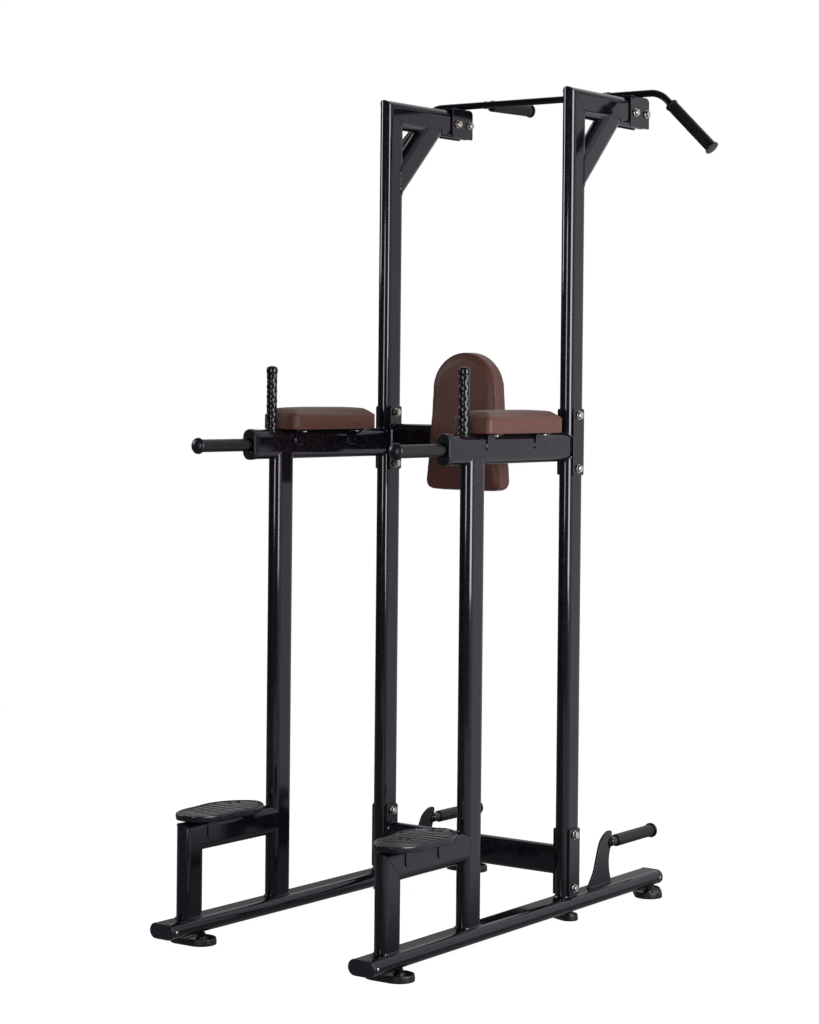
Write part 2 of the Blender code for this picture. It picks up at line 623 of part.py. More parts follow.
    # loose backing plates on the outside of the mast
    outer_x = sign * (TUBE_THICK / 2 + GAP + CROSS_PLATE_T / 2)
    hole_turn = Matrix.Rotation(math.pi / 2, 4, "Y")
    for level, z in (("upper", CROSS_UPPER_Z), ("lower", CROSS_LOWER_Z)):
        outline = rounded_box(-CROSS_PLATE_HALF_Y, CROSS_PLATE_HALF_Y, -CROSS_PLATE_HALF_Z, CROSS_PLATE_HALF_Z,
                              (0.004,) * 4, 1)
        holes = []
        for zz in (-CROSS_BOLT_Z, CROSS_BOLT_Z):
            holes.append([(BOLT_HOLE_R * math.cos(math.pi * i / 4), zz + BOLT_HOLE_R * math.sin(math.pi * i / 4))
                          for i in range(8)])
        place(moved(prism([outline, *holes], CROSS_PLATE_T), ALONG_X), f"plate_{level}_{side}", MAT_FRAME, hub,
              (outer_x, 0, z))
        for where, dz in (("top", CROSS_BOLT_Z), ("bottom", -CROSS_BOLT_Z)):
            hole = helper(moved(cylinder_mesh(BOLT_HOLE_R, 0.060, 8), hole_turn),
                          f"bolt_hole_{level}_{where}_{side}", hub, (0, 0, z + dz))
            boolean(mast, hole)
            grip_lo = -(TUBE_THICK / 2 + 0.0008 + CROSS_PLATE_T + GAP + 0.0004)
            grip_hi = TUBE_THICK / 2 + GAP + CROSS_PLATE_T
            bolt = bolt_mesh(grip_lo, grip_hi)
            if sign < 0:
                bolt = moved(bolt, Matrix.Rotation(math.pi, 4, "Z"))
            place(bolt, f"bolt_{level}_{where}_{side}", MAT_STEEL, hub, (0, 0, z + dz))

    # bolts that hold the pull-up bar's brackets
    for n, y in enumerate(BAR_BOLT_YS):
        hole = helper(moved(cylinder_mesh(BOLT_HOLE_R, 0.060, 8), hole_turn), f"bar_hole_{n}_{side}", hub,
                      (0, y, TOP_ARM_Z))
        boolean(mast, hole)
        half = TUBE_THICK / 2 + GAP + BRACKET_T
        bolt = bolt_mesh(-half, half)
        if sign < 0:
            bolt = moved(bolt, Matrix.Rotation(math.pi, 4, "Z"))
        place(bolt, f"bolt_bar_{('front', 'rear')[n]}_{side}", MAT_STEEL, hub, (0, y, TOP_ARM_Z))
    return hub


hubs = {side: side_frame(side, sign) for side, sign in SIDES}


# ---- pieces that tie the two side frames --------------------------------
def crossbar(name, z):
    """Tube across the station with a welded plate at each end."""
    bar = place(moved(tube(TUBE_THICK, TUBE_WIDE, 2 * (CROSS_FACE_X - CROSS_PLATE_T + 0.001)), ALONG_X),
                name, MAT_FRAME, None, (0, 0, z))
    outline = rounded_box(-CROSS_PLATE_HALF_Y, CROSS_PLATE_HALF_Y, -CROSS_PLATE_HALF_Z, CROSS_PLATE_HALF_Z,
                          (0.004,) * 4, 1)
    loops = [outline]
    for zz, r in ((-CROSS_BOLT_Z, 0.0072), (0.0, 0.006), (CROSS_BOLT_Z, 0.0072)):
        loops.append([(r * math.cos(math.pi * i / 4), zz + r * math.sin(math.pi * i / 4)) for i in range(8)])
    for side, sign in SIDES:
        plate = helper(moved(prism(loops, CROSS_PLATE_T), ALONG_X), f"{name}_plate_{side}", None,
                       (sign * (CROSS_FACE_X - CROSS_PLATE_T / 2), 0, z))
        boolean(bar, plate, "UNION")


crossbar("upper_crossbar", CROSS_UPPER_Z)
crossbar("lower_crossbar", CROSS_LOWER_Z)


def back_pad_outline():
    """Half-round top, sides that flare towards the bottom, rounded lower corners."""
    top, half, flare, bottom, corner = 1.561, 0.1065, 0.1265, 1.1765, 0.022
    centre = top - half
    right = []
    for i in range(9):
        a = math.pi / 2 * (1 - i / 8)
        right.append((half * math.cos(a), centre + half * math.sin(a)))
    right[0] = (0.0, top)
    for i in range(1, 6):
        t = i / 5
        z = centre + (bottom + corner - centre) * t
        right.append((half + (flare - half) * t ** 1.2, z))
    for i in range(1, 5):
        a = -math.pi / 2 * i / 4
        right.append((flare - corner + corner * math.cos(a), bottom + corner + corner * math.sin(a)))
    left = [(-x, z) for x, z in reversed(right[1:])]
    return right + left


cushion = place(moved(prism([list(reversed(back_pad_outline()))], BACK_PAD_Y[1] - BACK_PAD_Y[0]), ALONG_Y),
                "back_pad", MAT_PAD, None, (0, (BACK_PAD_Y[0] + BACK_PAD_Y[1]) / 2, 0))
soft = cushion.modifiers.new("soft edge", "BEVEL")
soft.width = 0.008
soft.segments = 2
soft.limit_method = "ANGLE"
soft.angle_limit = math.radians(60)


def bar_route():
    """Right half of the pull-up bar: straight, bend, straight leg; then mirrored."""
    half = [(BAR_STRAIGHT, BAR_Y, BAR_Z)]
    for i in range(1, 7):
        a = BAR_BEND * i / 6
        half.append((BAR_STRAIGHT + BAR_BEND_R * math.sin(a), BAR_Y, BAR_Z - BAR_BEND_R * (1 - math.cos(a))))
    end = half[-1]
    direction = (math.cos(BAR_BEND), -math.sin(BAR_BEND))
    half.append((end[0] + direction[0] * BAR_LEG, BAR_Y, end[2] + direction[1] * BAR_LEG))
    return [(-x, y, z) for x, y, z in reversed(half)] + half, end, direction


route, bend_end, leg_dir = bar_route()
pull = place(rod_mesh(route, BAR_R, 3), "pull_up_bar", MAT_FRAME)
tilt = math.pi / 2 + BAR_BEND


def disc_along(radius, depth, centre, turn, sides=16):
    return moved(cylinder_mesh(radius, depth, sides), Matrix.Translation(centre) @ turn)


for side, sign in SIDES:
    hub = hubs[side]
    # flange on the end of the leg
    tip = Vector((sign * (bend_end[0] + leg_dir[0] * BAR_LEG), BAR_Y, bend_end[2] + leg_dir[1] * BAR_LEG))
    axis = Vector((sign * leg_dir[0], 0, leg_dir[1]))
    turn = axis.to_track_quat("Z", "Y").to_matrix().to_4x4()
    flange = helper(disc_along(0.021, 0.006, tip, turn), f"outer_flange_{side}")
    boolean(pull, flange, "UNION")
    # rubber grip on the leg
    grip_long = 0.180
    start = tip - axis * (0.003 + GAP + grip_long)
    place(moved(grip_mesh(grip_long, BAR_R), Matrix.Translation(start) @ turn),
          f"pull_up_grip_outer_{side}", MAT_RUBBER)
    # neutral bar: leaves the main bar slightly outward, runs to the rear
    near = Vector((sign * 0.2055, BAR_Y, BAR_Z))
    far = Vector((sign * 0.1760, NEUTRAL_Y - 0.003, BAR_Z))
    neutral = helper(rod_mesh([tuple(near), tuple(far)], BAR_R, 3), f"neutral_bar_{side}")
    boolean(pull, neutral, "UNION")
    run = (far - near).normalized()
    n_turn = run.to_track_quat("Z", "Y").to_matrix().to_4x4()
    n_flange = helper(disc_along(0.020, 0.006, far, n_turn), f"neutral_flange_{side}")
    boolean(pull, n_flange, "UNION")
    n_long = 0.172
    n_start = far - run * (0.003 + GAP + n_long)
    place(moved(grip_mesh(n_long, BAR_R), Matrix.Translation(n_start) @ n_turn),
          f"pull_up_grip_neutral_{side}", MAT_RUBBER)
    # saddle bracket over the end of the top arm
    inner, outer = TUBE_THICK / 2 + GAP, TUBE_THICK / 2 + GAP + BRACKET_T
    z0, z1 = BRACKET_Z
    ceiling = MAST_TOP + GAP
    outline = [(-outer, z0), (-inner, z0), (-inner, ceiling), (inner, ceiling), (inner, z0), (outer, z0),
               (outer, z1 - 0.004), (outer - 0.004, z1), (-outer + 0.004, z1), (-outer, z1 - 0.004)]
    saddle = helper(moved(prism([outline], BRACKET_Y[1] - BRACKET_Y[0]), ALONG_Y), f"saddle_{side}", hub,
                    (0, (BRACKET_Y[0] + BRACKET_Y[1]) / 2, 0))
    boolean(pull, saddle, "UNION")
    for n, y in enumerate(BAR_BOLT_YS):
        hole = helper(moved(cylinder_mesh(BOLT_HOLE_R, 0.080, 8), Matrix.Rotation(math.pi / 2, 4, "Y")),
                      f"bracket_hole_{n}_{side}", hub, (0, y, TOP_ARM_Z))
        boolean(pull, hole)

# the whole station stands centred over the origin
station = bpy.data.objects.new(NAME, None)
parts.objects.link(station)
station.empty_display_size = 0.2
station.location = (0, MAST_PLANE_Y, 0)
for obj in [*parts.objects, *cutters.objects]:
    if obj.parent is None and obj is not station:
        obj.parent = station
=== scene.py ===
"""Looks of the vertical knee raise station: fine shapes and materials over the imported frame, studio and camera."""
import math

import bmesh
import bpy
import numpy as np
from mathutils import Matrix, Vector, noise
from mathutils.bvhtree import BVHTree


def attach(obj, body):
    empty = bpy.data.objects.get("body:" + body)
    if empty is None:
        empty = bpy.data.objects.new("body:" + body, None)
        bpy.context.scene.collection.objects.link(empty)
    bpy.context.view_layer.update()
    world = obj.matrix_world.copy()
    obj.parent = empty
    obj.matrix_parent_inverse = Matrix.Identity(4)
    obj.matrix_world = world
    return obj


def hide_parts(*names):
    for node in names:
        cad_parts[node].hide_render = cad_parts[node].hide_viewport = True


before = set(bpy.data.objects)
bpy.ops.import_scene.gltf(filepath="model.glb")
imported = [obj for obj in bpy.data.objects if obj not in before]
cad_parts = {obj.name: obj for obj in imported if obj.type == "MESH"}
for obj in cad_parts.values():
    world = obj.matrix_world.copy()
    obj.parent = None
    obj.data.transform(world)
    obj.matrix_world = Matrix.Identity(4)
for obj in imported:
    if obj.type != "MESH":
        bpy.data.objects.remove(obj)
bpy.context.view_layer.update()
X, Y, Z = Vector((1, 0, 0)), Vector((0, 1, 0)), Vector((0, 0, 1))

# ---- the frame's own measures (metres, y counted from the plane of the masts) ----
STATION_Y = 0.2098
SIDE_X, FLARE = 0.309, 0.0129
THICK, WIDE = 0.040, 0.080
R = THICK / 2
RAIL_Z, RAIL_TOP = 0.055, 0.075
RAIL_FRONT, RAIL_BACK = -0.946, 0.466
MAST_TOP = 2.2845
TOP_ARM_Z = MAST_TOP - WIDE / 2
TOP_ARM_END = 0.372
BRACE_OFFSET = 2.0335
FRONT_Y, ARM_Z, ARM_FRONT, ARM_CAP = -0.4855, 1.304, -0.602, 0.020
LUG_SPANS = ((-0.449, -0.415), (-0.216, -0.180))
STEP_POST_Y, STEP_Z = -0.844, 0.285
STRAP_SPANS = ((-0.797, -0.757), (-0.655, -0.613))
CROSS_UPPER_Z, CROSS_LOWER_Z, CROSS_FACE_X = 1.3165, 0.170, 0.2883
DIP_Z, DIP_END = 1.303, -0.838
VERTICAL_Y, VERTICAL_R, VERTICAL_TOP = -0.527, 0.0145, 1.516
PUSH_Z, PUSH_BACK, PUSH_GRIP = 0.1865, 0.466, 0.2625
BAR_Y, BAR_Z, BAR_R = 0.325, 2.300, 0.010

CENTRE = Matrix.Translation((0, STATION_Y, 0))
SIDES = (("left", -1.0), ("right", 1.0))
HUB = {side: CENTRE @ Matrix.Translation((sign * SIDE_X, 0, 0)) @ Matrix.Rotation(sign * FLARE, 4, "Z")
       for side, sign in SIDES}


# ======================================================================
# materials
# ======================================================================
class Look:
    """A procedural material: a principled shader fed by a few noise layers in object space."""

    def __init__(self, name, colour, rough, metallic=0.0, spec=0.5, tint=None, ior=1.5):
        self.mat = bpy.data.materials.new(name)
        self.mat.use_nodes = True
        self.tree = self.mat.node_tree
        self.shader = self.tree.nodes["Principled BSDF"]
        s = self.shader.inputs
        s["Base Color"].default_value = (*colour, 1)
        s["Roughness"].default_value = rough
        s["Metallic"].default_value = metallic
        s["Specular IOR Level"].default_value = spec
        s["IOR"].default_value = ior
        if tint:
            s["Specular Tint"].default_value = (*tint, 1)
        self.coords = self.node("ShaderNodeTexCoord").outputs["Object"]
        self.height = None

    def node(self, kind, **values):
        n = self.tree.nodes.new(kind)
        for key, value in values.items():
            setattr(n, key, value)
        return n

    def link(self, a, b):
        self.tree.links.new(a, b)

    def noise(self, scale, detail=3.0, rough=0.5, stretch=None, distortion=0.0):
        n = self.node("ShaderNodeTexNoise")
        n.inputs["Scale"].default_value = scale
        n.inputs["Detail"].default_value = detail
        n.inputs["Roughness"].default_value = rough
        n.inputs["Distortion"].default_value = distortion
        self.link(self.place(stretch), n.inputs["Vector"])
        return n.outputs["Fac"]

    def place(self, stretch=None):
        if stretch is None:
            return self.coords
        m = self.node("ShaderNodeMapping")
        m.inputs["Scale"].default_value = stretch
        self.link(self.coords, m.inputs["Vector"])
        return m.outputs["Vector"]

    def cells(self, scale, feature="F1", smooth=None, stretch=None, randomness=1.0):
        n = self.node("ShaderNodeTexVoronoi", feature=feature)
        n.inputs["Scale"].default_value = scale
        n.inputs["Randomness"].default_value = randomness
        if smooth is not None:
            n.inputs["Smoothness"].default_value = smooth
        self.link(self.place(stretch), n.inputs["Vector"])
        return n.outputs["Distance"]

    def ramp(self, value, low, high, out_low=0.0, out_high=1.0):
        n = self.node("ShaderNodeMapRange")
        n.clamp = True
        n.inputs["From Min"].default_value = low
        n.inputs["From Max"].default_value = high
        n.inputs["To Min"].default_value = out_low
        n.inputs["To Max"].default_value = out_high
        self.link(value, n.inputs["Value"])
        return n.outputs["Result"]

    def mix(self, factor, a, b):
        n = self.node("ShaderNodeMix", data_type="RGBA")
        self.link(factor, n.inputs["Factor"])
        for value, socket in ((a, n.inputs["A"]), (b, n.inputs["B"])):
            if isinstance(value, tuple):
                socket.default_value = (*value, 1)
            else:
                self.link(value, socket)
        return n.outputs["Result"]

    def maths(self, kind, a, b=None):
        n = self.node("ShaderNodeMath", operation=kind)
        for i, value in enumerate((a, b)):
            if value is None:
                continue
            if isinstance(value, (int, float)):
                n.inputs[i].default_value = value
            else:
                self.link(value, n.inputs[i])
        return n.outputs[0]

    def colour(self, socket):
        self.link(socket, self.shader.inputs["Base Color"])

    def rough(self, socket):
        self.link(socket, self.shader.inputs["Roughness"])

    def bump(self, value, distance, strength=1.0):
        n = self.node("ShaderNodeBump")
        n.inputs["Strength"].default_value = strength
        n.inputs["Distance"].default_value = distance
        self.link(value, n.inputs["Height"])
        if self.height is not None:
            self.link(self.height, n.inputs["Normal"])
        self.height = n.outputs["Normal"]
        self.link(self.height, self.shader.inputs["Normal"])

    def edge_wear(self, radius, amount):
        """0 on faces, up to 1 along outer edges, from the surface's own pointiness, broken up by noise."""
        g = self.node("ShaderNodeNewGeometry")
        edge = self.ramp(g.outputs["Pointiness"], 0.52, 0.60)
        return self.maths("MULTIPLY", edge, self.ramp(self.noise(90, 4, 0.6), 0.45, 0.62, 0.0, amount))


def coat_look():
    """Gloss enamel over steel tube: near black with a plum cast, orange peel, soft dust and faint scuffs."""
    look = Look("frame_coat", (0.0022, 0.0018, 0.0028), 0.10, spec=0.36, tint=(1.0, 0.92, 1.11))
    drift = look.noise(3.0, 3, 0.55)
    dust = look.noise(38, 5, 0.65)
    base = look.mix(look.ramp(drift, 0.35, 0.65), (0.0020, 0.0013, 0.0027), (0.0031, 0.0022, 0.0041))
    dusty = look.mix(look.ramp(dust, 0.60, 0.82, 0.0, 0.16), base, (0.014, 0.0133, 0.0147))
    worn = look.edge_wear(0.001, 0.30)
    look.colour(look.mix(worn, dusty, (0.022, 0.020, 0.024)))
    scuff = look.noise(140, 2, 0.5, stretch=(1.0, 0.08, 0.08))
    r = look.maths("ADD", look.ramp(dust, 0.35, 0.75, 0.075, 0.120), look.ramp(scuff, 0.70, 0.82, 0.0, 0.08))
    look.rough(r)
    look.bump(look.noise(5.5, 2, 0.5), 0.0012, 0.25)
    look.bump(look.noise(430, 2, 0.5), 0.00003, 0.12)
    return look.mat


def plastic_look(name, colour, light, rough, grain=900, depth=0.00012, wear=0.45, spec=0.42):
    look = Look(name, colour, rough, spec=spec, tint=(0.94, 0.97, 1.10))
    blotch = look.noise(26, 4, 0.6)
    base = look.mix(look.ramp(blotch, 0.35, 0.70), colour, light)
    worn = look.edge_wear(0.001, wear)
    look.colour(look.mix(worn, base, tuple(min(1.0, 2.6 * c + 0.010) for c in light)))
    look.rough(look.ramp(look.noise(60, 4, 0.6), 0.3, 0.7, rough - 0.05, rough + 0.07))
    look.bump(look.cells(grain, "SMOOTH_F1", 0.7), depth, 0.45)
    look.bump(look.noise(22, 2, 0.5), 0.0006, 0.12)
    return look.mat


def rubber_look(name, colour, light, rough, spec=0.45, coarse=True):
    """Soft rubber: fine pores darkened with painted shade, paler bloom where hands rub it."""
    look = Look(name, colour, rough, spec=spec)
    bloom = look.noise(34, 5, 0.65)
    base = look.mix(look.ramp(bloom, 0.42, 0.72), colour, light)
    pores = look.cells(1500, "F1")
    # the pore dimples are darkened towards 0.4 of the colour: painted shade in the pores
    look.colour(look.mix(look.ramp(pores, 0.0, 0.30, 0.35, 0.0), base, tuple(0.4 * c for c in colour)))
    look.rough(look.ramp(bloom, 0.3, 0.75, rough - 0.06, rough + 0.08))
    look.bump(pores, 0.00018 if coarse else 0.00006, 0.40)
    look.bump(look.noise(210, 3, 0.6), 0.00016 if coarse else 0.00005, 0.30)
    return look.mat


def steel_look():
    look = Look("bolt_zinc", (0.50, 0.47, 0.44), 0.24, metallic=1.0)
    stain = look.noise(260, 4, 0.6)
    look.colour(look.mix(look.ramp(stain, 0.45, 0.75), (0.56, 0.53, 0.49), (0.36, 0.33, 0.29)))
    look.rough(look.ramp(look.noise(700, 3, 0.6), 0.3, 0.7, 0.18, 0.34))
    look.bump(look.noise(900, 3, 0.6), 0.00008, 0.35)
    return look.mat


def leather_look():
    """Brown upholstery vinyl: pebbled grain with fine creases, a slight sheen, painted shade darkening the valleys
    between the pebbles.
    """
    look = Look("pad_cover", (0.063, 0.0220, 0.0155), 0.42, spec=0.24)
    pebble = look.cells(620, "DISTANCE_TO_EDGE")
    small = look.cells(1450, "SMOOTH_F1", 0.6)
    mood = look.noise(7, 3, 0.5)
    fine = look.noise(95, 4, 0.6)
    base = look.mix(look.ramp(mood, 0.30, 0.70), (0.056, 0.0195, 0.0138), (0.071, 0.0248, 0.0176))
    base = look.mix(look.ramp(fine, 0.45, 0.80, 0.0, 0.35), base, (0.088, 0.034, 0.026))
    # the valleys between the pebbles are darkened: painted shade
    look.colour(look.mix(look.ramp(pebble, 0.0, 0.055, 0.45, 0.0), base, (0.040, 0.013, 0.009)))
    look.rough(look.ramp(fine, 0.30, 0.75, 0.34, 0.47))
    look.bump(look.ramp(pebble, 0.0, 0.10), 0.00016, 0.55)
    look.bump(small, 0.00010, 0.35)
    look.bump(look.noise(17, 3, 0.6, distortion=0.4), 0.0018, 0.16)
    look.shader.inputs["Sheen Weight"].default_value = 0.02
    look.shader.inputs["Sheen Roughness"].default_value = 0.5
    return look.mat


COAT = coat_look()
CAP = plastic_look("cap_plastic", (0.0018, 0.0019, 0.0030), (0.0028, 0.0029, 0.0042), 0.32, wear=0.2, spec=0.32)
RAIL_CAP = plastic_look("rail_cap_plastic", (0.0080, 0.0080, 0.0150), (0.0105, 0.0105, 0.0185), 0.34, wear=0.2, spec=0.34)
TREAD = plastic_look("tread_plastic", (0.0024, 0.0026, 0.0040), (0.0032, 0.0034, 0.0050), 0.24, grain=160, depth=0.00001, wear=0.0,
                     spec=0.40)
FOOT = rubber_look("foot_rubber", (0.0024, 0.0025, 0.0034), (0.0044, 0.0045, 0.0056), 0.40)
GRIP = rubber_look("grip_rubber", (0.0016, 0.0016, 0.0022), (0.0034, 0.0034, 0.0042), 0.40, spec=0.24)
KNOB = rubber_look("handle_rubber", (0.0018, 0.0022, 0.0036), (0.0028, 0.0034, 0.0052), 0.20, spec=0.26, coarse=False)
ZINC = steel_look()
BLACKED = plastic_look("blacked_steel", (0.010, 0.010, 0.011), (0.020, 0.020, 0.022), 0.25, grain=1400, depth=0.00006)
LEATHER = leather_look()


# ======================================================================
# shapes
# ======================================================================
class Shape:
    """Collects the closed shells of one piece."""

    def __init__(self):
        self.bm = bmesh.new()

    def rows(self, rings, caps=(True, True), loop=False):
        """Skin over closed rings of equal length; a ring of one point is a pole. loop joins the last to the first."""
        rows = []
        for ring in rings:
            rows.append([self.bm.verts.new(p) for p in ring])
        pairs = list(zip(rows, rows[1:]))
        if loop:
            pairs.append((rows[-1], rows[0]))
        for a, b in pairs:
            n = max(len(a), len(b))
            for i in range(n):
                j = (i + 1) % n
                if len(a) == 1 and len(b) == 1:
                    continue
                if len(a) == 1:
                    quad = (a[0], b[j], b[i])
                elif len(b) == 1:
                    quad = (a[i], a[j], b[0])
                else:
                    quad = (a[i], a[j], b[j], b[i])
                self.bm.faces.new(quad)
        if not loop:
            for want, row in zip(caps, (rows[0], rows[-1])):
                if want and len(row) > 2:
                    self.bm.faces.new(row)
        return rows

    def finish(self, name, matrix, look, angle=32.0):
        bm = self.bm
        bmesh.ops.recalc_face_normals(bm, faces=bm.faces)
        mesh = bpy.data.meshes.new(name)
        bm.to_mesh(mesh)
        bm.free()
        mesh.shade_smooth()
        mesh.set_sharp_from_angle(angle=math.radians(angle))
        mesh.materials.append(look)
        obj = bpy.data.objects.new(name, mesh)
        bpy.context.scene.collection.objects.link(obj)
        obj.matrix_world = matrix
        flat = obj.modifiers.new("flat faces stay flat", "WEIGHTED_NORMAL")
        flat.keep_sharp = True
        return obj


def stadium(thick=THICK, wide=WIDE, seg=16, edge=0.0007):
    """Flat-oval outline, (across, along); support points hold the flats flat."""
    r, run = thick / 2, wide / 2 - thick / 2
    points = []
    for half, sign in ((0, 1), (1, -1)):
        for i in range(seg + 1):
            a = math.pi * (half + i / seg)
            points.append((r * math.cos(a), sign * run + r * math.sin(a)))
        if run > edge:
            points.append((-sign * r, sign * (run - edge)))
            points.append((-sign * r, -sign * (run - edge)))
    return points


def at(origin, u, v, w, p, q, s):
    return origin + u * p + v * q + w * s


def oval_tube(shape, origin, u, v, w, near, far, outline=None, middle=()):
    """Straight flat-oval tube; near and far are distances along w, or functions of the outline point."""
    outline = outline or stadium()
    value = lambda f, p, q: f(p, q) if callable(f) else f
    rings = []
    for s in (near, *middle, far):
        rings.append([at(origin, u, v, w, p, q, value(s, p, q)) for p, q in outline])
    shape.rows(rings)
    return rings


def resampled(path, step, closed):
    points = [Vector(p) for p in path]
    if closed:
        points.append(points[0])
    lengths = [0.0]
    for a, b in zip(points, points[1:]):
        lengths.append(lengths[-1] + (b - a).length)
    total = lengths[-1]
    count = max(4, int(round(total / step)))
    out, k = [], 0
    for i in range(count if closed else count + 1):
        s = total * i / count
        while k < len(lengths) - 2 and lengths[k + 1] < s:
            k += 1
        span = lengths[k + 1] - lengths[k]
        t = 0.0 if span < 1e-9 else (s - lengths[k]) / span
        out.append(points[k].lerp(points[k + 1], t))
    return out, total


def frames_along(points, closed):
    """Tangent and two normals at each point, carried along without twist."""
    n = len(points)
    tangents = []
    for i in range(n):
        if closed:
            t = points[(i + 1) % n] - points[i - 1]
        else:
            t = points[min(i + 1, n - 1)] - points[max(i - 1, 0)]
        tangents.append(t.normalized())
    side = tangents[0].orthogonal().normalized()
    out = []
    for t in tangents:
        side = (side - t * side.dot(t)).normalized()
        out.append((t, side, t.cross(side)))
    return out


def pipe(shape, path, radius, sides=24, closed=False, radii=None):
    points = [Vector(p) for p in path]
    rings = []
    for i, (point, (t, a, b)) in enumerate(zip(points, frames_along(points, closed))):
        r = radii[i] if radii else radius
        rings.append([point + (a * math.cos(k) + b * math.sin(k)) * r
                      for k in (2 * math.pi * j / sides for j in range(sides))])
    shape.rows(rings, loop=closed)


def bead(shape, path, radius=0.0022, closed=True, ripple=0.20, pitch=0.0046, seed=0.0, dress=None):
    """Weld bead: half-sunk round cord with scales and an uneven width; dress(point) thins it where it was ground off."""
    points, total = resampled(path, 0.0014, closed)
    radii, moved = [], []
    for i, p in enumerate(points):
        s = total * i / len(points)
        scale = 1.0 - ripple * ((s / pitch) % 1.0) + ripple / 2
        wander = 1.0 + 0.22 * noise.noise(p * 60 + Vector((seed, 0, 0)))
        radii.append(radius * scale * wander * (dress(p) if dress else 1.0))
        moved.append(p + Vector([0.0004 * noise.noise(p * 90 + Vector((seed, k, 0))) for k in (1.0, 2.0, 3.0)]))
    if not closed:
        for i in range(3):
            radii[i] *= 0.45 + 0.2 * i
            radii[-1 - i] *= 0.45 + 0.2 * i
    pipe(shape, moved, radius, 8, closed, radii)


def ground_flats(p):
    """Welds are dressed flush on the flats of a tube and left standing round its noses."""
    k = min(1.0, max(0.0, (abs(p.x) - 0.0150) / 0.0045))
    return 1.0 - 0.80 * k * k * (3 - 2 * k)


def offset_outline(points, d):
    """Outline moved inward by d (counter-clockwise outline)."""
    n = len(points)
    out = []
    for i in range(n):
        a, b, c = Vector(points[i - 1]), Vector(points[i]), Vector(points[(i + 1) % n])
        e0, e1 = (b - a).normalized(), (c - b).normalized()
        n0, n1 = Vector((-e0.y, e0.x)), Vector((-e1.y, e1.x))
        m = n0 + n1
        if m.length < 1e-6:
            m = n0
        m.normalize()
        scale = 1.0 / max(0.35, m.dot(n0))
        out.append((b.x + m.x * d * scale, b.y + m.y * d * scale))
    return out


def area2(points):
    return sum(a[0] * b[1] - b[0] * a[1] for a, b in zip(points, points[1:] + points[:1]))


def slab(shape, outline, thick, origin, u, v, w, bevel=0.0009, steps=3):
    """Plate cut from an outline in the u-v plane, thick along w, with rounded edges."""
    if area2(outline) < 0:
        outline = list(reversed(outline))
    rings = []
    for i in range(steps + 1):
        a = math.pi / 2 * i / steps
        rings.append((bevel * (1 - math.sin(a)), bevel * (1 - math.cos(a))))
    rings = [(d, s) for d, s in rings] + [(d, thick - s) for d, s in reversed(rings)]
    out = []
    for d, s in rings:
        ring = offset_outline(outline, d) if d > 1e-7 else outline
        out.append([at(origin, u, v, w, p, q, s) for p, q in ring])
    shape.rows(out)


def box_outline(x0, x1, y0, y1, radii=(0, 0, 0, 0), steps=6):
    corners = ((x0, y0, 1, 1, 180), (x1, y0, -1, 1, 270), (x1, y1, -1, -1, 0), (x0, y1, 1, -1, 90))
    points = []
    for (cx, cy, sx, sy, first), r in zip(corners, radii):
        if r <= 0:
            points.append((cx, cy))
            continue
        for i in range(steps + 1):
            a = math.radians(first + 90.0 * i / steps)
            points.append((cx + sx * r + r * math.cos(a), cy + sy * r + r * math.sin(a)))
    return points


def lathe(shape, profile, matrix=Matrix(), sides=48):
    """Turned shape about z; the profile runs from pole to pole, or is closed when it never touches the axis."""
    rings = []
    for r, z in profile:
        if r < 1e-7:
            rings.append([matrix @ Vector((0, 0, z))])
        else:
            rings.append([matrix @ Vector((r * math.cos(2 * math.pi * i / sides), r * math.sin(2 * math.pi * i / sides), z))
                          for i in range(sides)])
    closed = profile[0][0] > 1e-7 and profile[-1][0] > 1e-7
    shape.rows(rings, caps=(False, False), loop=closed)


def rounded_profile(r, z0, z1, edge, steps=4, inner=0.0):
    """Profile of a disc or drum with rounded rims, from the bottom to the top."""
    pts = [(inner, z0)]
    for i in range(steps + 1):
        a = math.pi / 2 * i / steps
        pts.append((r - edge + edge * math.sin(a), z0 + edge - edge * math.cos(a)))
    for i in range(steps + 1):
        a = math.pi / 2 * i / steps
        pts.append((r - edge + edge * math.cos(a), z1 - edge + edge * math.sin(a)))
    pts.append((inner, z1))
    return pts


ALONG = {  # turns z onto an axis
    "x": Matrix.Rotation(math.pi / 2, 4, "Y"),
    "-x": Matrix.Rotation(-math.pi / 2, 4, "Y"),
    "y": Matrix.Rotation(-math.pi / 2, 4, "X"),
    "-y": Matrix.Rotation(math.pi / 2, 4, "X"),
    "z": Matrix(),
    "-z": Matrix.Rotation(math.pi, 4, "X"),
}


def hexagon(shape, matrix, across, height, chamfer=0.25, both=False, hollow=0.0):
    """Hex head or nut about z from z = 0, corners turned off to a cone at the top."""
    apothem = across / 2
    corner = apothem / math.cos(math.pi / 6)
    per = 8
    cut = corner - apothem * 0.96
    drop = cut * math.tan(math.radians(30))

    def ring(limit, z):
        pts = []
        for i in range(6 * per):
            a = 2 * math.pi * i / (6 * per)
            inside = ((a + math.pi / 6) % (math.pi / 3)) - math.pi / 6
            r = min(apothem / math.cos(inside), limit)
            pts.append(matrix @ Vector((r * math.cos(a), r * math.sin(a), z)))
        return pts

    levels = []
    if both:
        for k in range(5):
            levels.append((apothem * 0.96 + cut * k / 4, drop * k / 4))
    else:
        levels.append((corner, 0.0))
    for k in range(5):
        levels.append((corner - cut * k / 4, height - drop * (1 - k / 4)))
    rings = [ring(limit, z) for limit, z in levels]
    if hollow > 0:
        def circle(z):
            return [matrix @ Vector((hollow * math.cos(2 * math.pi * i / (6 * per)),
                                     hollow * math.sin(2 * math.pi * i / (6 * per)), z)) for i in range(6 * per)]
        shape.rows(rings + [circle(height), circle(0.0)], loop=True)
    else:
        shape.rows(rings)


